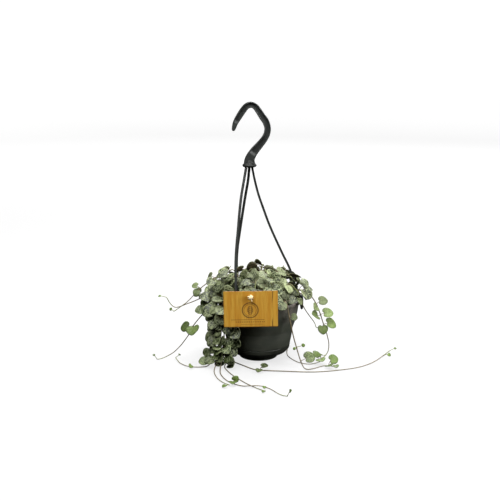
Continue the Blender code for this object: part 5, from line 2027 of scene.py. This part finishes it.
@dataclass
class Foliage:
    """All vines, each grown on the route and with the leaves of the model's vine.

    Further leaves stand on the thin vines only up to a station where they leave the mound, and on those
    of the cascade up to one near the ground.
    """

    leaf: HeartLeaf
    stem: Stem
    rule: GrowthRule
    first_station: float = 1.1
    mound_end: float = 3.1
    cascade_end: float = 7.5
    stem_room: float = 0.0009
    strand_room: float = 0.0023
    clip_room: float = 0.0045
    twine_room: float = 0.0013

    def plan(self) -> list[Vine]:
        """Every vine before it has leaves, in the model's order."""
        plan = []
        for name, (points, pairs) in TRAILING.items():
            plan.append((name, [(*point, GROUND)[:3] for point in points], pairs, True))
        for i, settings in enumerate(CURTAINS):
            route = curtain(*settings)
            plan.append((f"vine_rim_{i + 1}", route, even_pairs(route, *CURTAIN_PAIRS), False))
        for i, settings in enumerate(DOMES):
            route = dome(*settings)
            plan.append((f"vine_mound_{i + 1}", route, even_pairs(route, *DOME_PAIRS), False))
        rows = enumerate(plan)
        return [Vine(name, k, MM * np.array(route, float), *rest) for k, (name, route, *rest) in rows]

    def between(self, vine: Vine) -> list[tuple[float, float]]:
        """Where further pairs of leaves may stand: halfway between those of the model.

        Args:
            vine: The vine.

        Returns:
            The station and length of each.
        """
        last = self.cascade_end if vine.name in CASCADE else self.mound_end
        stops = [(self.first_station, vine.pairs[0][1]), *[pair[:2] for pair in vine.pairs]]
        between = [(0.5 * (a + b), 0.46 * (c + d)) for (a, c), (b, d) in zip(stops, stops[1:])]
        return [(at, size) for at, size in between if vine.name not in TRAILING or at < last]

    def lines(self, routes: Sequence[Array], tie: Tie) -> Array:
        """Points along the stems, the strands, their clips and the twine.

        Args:
            routes: The stems' routes.
            tie: The twine.

        Returns:
            The points, each with the radius round it that a leaf stays out of.
        """
        clips = [[polar(azimuth, 61.0, z) for z in (71.0, 81.0, 90.0)] for azimuth in Hanger.azimuths]
        kinds = (
            (routes, self.stem_room),
            ([MM * np.array(route) for route in STRAND_ROUTES], self.strand_room),
            ([MM * np.array(clip) for clip in clips], self.clip_room),
            ([MM * tie.route()], self.twine_room),
        )
        paths = [(smooth_path(line, MM), radius) for lines, radius in kinds for line in lines]
        return np.vstack([np.column_stack([path, np.full(len(path), radius)]) for path, radius in paths])

    def build(self, tag: Tag, tie: Tie) -> list[Piece]:
        """Every vine as a piece in place of the model's.

        Args:
            tag: The card, which no leaf touches.
            tie: Its twine.

        Returns:
            The vines.
        """
        vines = self.plan()
        for vine in vines:
            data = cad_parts[vine.name].data
            corners = np.empty(3 * len(data.vertices))
            data.vertices.foreach_get("co", corners)
            vine.leaves = self.rule.leaves(vine, corners.reshape(-1, 3))
        standing = [leaf for vine in vines for leaf in vine.leaves]
        log.info("%d leaves on %d vines of the model", len(standing), len(vines))
        lines = self.lines([vine.route for vine in vines], tie)
        clearance = Clearance(tag, standing, lines, Studio.eye, Studio.pitch)
        finishes = [self.leaf.material(), self.stem.material()]
        made = []
        for vine in vines:
            vine.leaves = self.rule.bent_aside(vine, clearance)
            vine.leaves += self.rule.more_leaves(vine, self.between(vine), clearance)
            made.append(vine.build(finishes))
        log.info("%d leaves in all", len(clearance.frames))
        return made


# Studio


@dataclass
class Studio:
    """A white ground that curves up all round, soft light and the camera.

    Its focal length is in pixels of the photo, which is 500 wide. Each lamp has a name, a place, a size
    and a power.
    """

    finish: StudioWhite
    ground: float = -0.0004
    eye: Point = (-0.0123, -1.300, 0.460)
    pitch: float = 13.1
    focal: float = 933.6
    aim: Point = (0.0, 0.0, 0.12)
    lamps: tuple[tuple[str, Point, float, float], ...] = (
        ("window", (-0.7, -1.4, 2.2), 1.3, 84.0),
        ("reflector", (1.8, -0.9, 1.1), 1.3, 64.0),
        ("overhead", (0.1, 0.2, 2.2), 1.3, 78.0),
        ("rear", (0.4, 1.5, 1.5), 1.4, 45.0),
    )

    def build_ground(self) -> Piece:
        """The ground: flat to 3 m, then curving up, as a thick shell turned round the upright axis."""
        turn = np.linspace(0.0, np.pi / 2, 16)
        rise = np.column_stack([3.0 + 1.6 * np.sin(turn), self.ground + 1.6 * (1 - np.cos(turn))])
        below = self.ground - 0.05
        outline = [(0.0, self.ground), *rise, (4.6, 2.6), (4.7, 2.6), (4.7, below), (0.0, below)]
        ground = add_mesh("studio_ground", [turned(np.array(outline), 96)], [self.finish.material()])
        ground.visible_diffuse = ground.visible_glossy = False
        return ground

    def light(self, name: str, place: Point, size: float, power: float) -> None:
        """A square soft light that is turned to the plant.

        Args:
            name: Its name.
            place: Where it stands, in metres.
            size: The length of its side.
            power: Its power in watts.
        """
        data = bpy.data.lights.new(name, "AREA")
        data.size, data.energy = size, power
        lamp = bpy.data.objects.new(name, data)
        lamp.location = place
        lamp.rotation_euler = (Vector(self.aim) - Vector(place)).to_track_quat("-Z", "Y").to_euler()
        bpy.context.scene.collection.objects.link(lamp)

    def camera(self) -> None:
        """The camera in front of the plant, a little above it and looking down by thirteen degrees."""
        data = bpy.data.cameras.new("camera")
        data.sensor_width, data.lens = 36.0, 36.0 * self.focal / 500.0
        data.clip_end = 20.0
        camera = bpy.data.objects.new("camera", data)
        camera.location = self.eye
        camera.rotation_euler = (math.radians(90.0 - self.pitch), 0.0, 0.0)
        bpy.context.scene.collection.objects.link(camera)
        bpy.context.scene.camera = camera

    def air(self) -> None:
        """The light all round: brighter above the horizon than below it, with a smooth step between.

        Its strength goes from 0.12 below to 0.80 above.
        """
        world = bpy.data.worlds.new("studio air")
        bpy.context.scene.world = world
        world.use_nodes = True
        nodes = Nodes(world.node_tree)
        up = nodes.parts(nodes.node("TexCoord").outputs["Generated"])[2]
        nodes.put(nodes.tree.nodes["Background"].inputs["Strength"], nodes.step(up, -0.25, 0.35, 0.12, 0.80))

    def build(self) -> None:
        """Camera, ground, air and lamps."""
        self.camera()
        self.build_ground()
        self.air()
        for lamp in self.lamps:
            self.light(*lamp)
        bpy.context.scene.view_settings.view_transform = "Standard"


def main() -> None:
    """Builds every piece in order."""
    logging.basicConfig(level=logging.INFO, format="%(name)s: %(message)s")
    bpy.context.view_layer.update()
    Studio(StudioWhite("studio white")).build()
    black = MouldedPlastic(
        "pot black matt", (52, 55, 48), (64, 67, 58),
        dust=(122, 112, 106), dust_share=0.4, dust_from=0.083, smear_at=(0.047, -0.036, 0.084),
    )
    gloss = MouldedPlastic("saucer black satin", (32, 34, 29), (42, 44, 38), dust_share=0.12, roughness=0.34)
    grey = MouldedPlastic("hanger black matt", (30, 33, 31), (42, 45, 43), dust_share=0.10)
    Pot(black).build()
    Saucer(gloss).build()
    earth = PottingSoil("potting soil", (26, 19, 14), (64, 48, 36), (150, 140, 122))
    Soil(earth, SoilCrumb("soil crumb", (30, 21, 15), (92, 66, 46), (214, 210, 198))).build()
    Hanger(grey).build()
    wood = GrainedTag(
        "grained card", base=(180, 128, 35), light=(192, 149, 53), dark=(158, 102, 22), ink=(74, 48, 16),
        edge=(92, 56, 22),
    )
    tag = Tag(wood)
    tag.build()
    tie = Tie(Twine("cream twine", (228, 212, 172), (190, 166, 122)), tag)
    tie.build()
    leaf = HeartLeaf(
        "heart leaf", green=(34, 44, 14), silver=(140, 148, 110), young=(56, 82, 16),
        young_light=(98, 118, 50), below=(84, 70, 56), rim=(124, 134, 88),
    )
    stem = Stem("vine stem", (78, 68, 46), (106, 94, 66), (104, 112, 58))
    Foliage(leaf, stem, GrowthRule()).build(tag, tie)


if __name__ == "__main__":
    main()
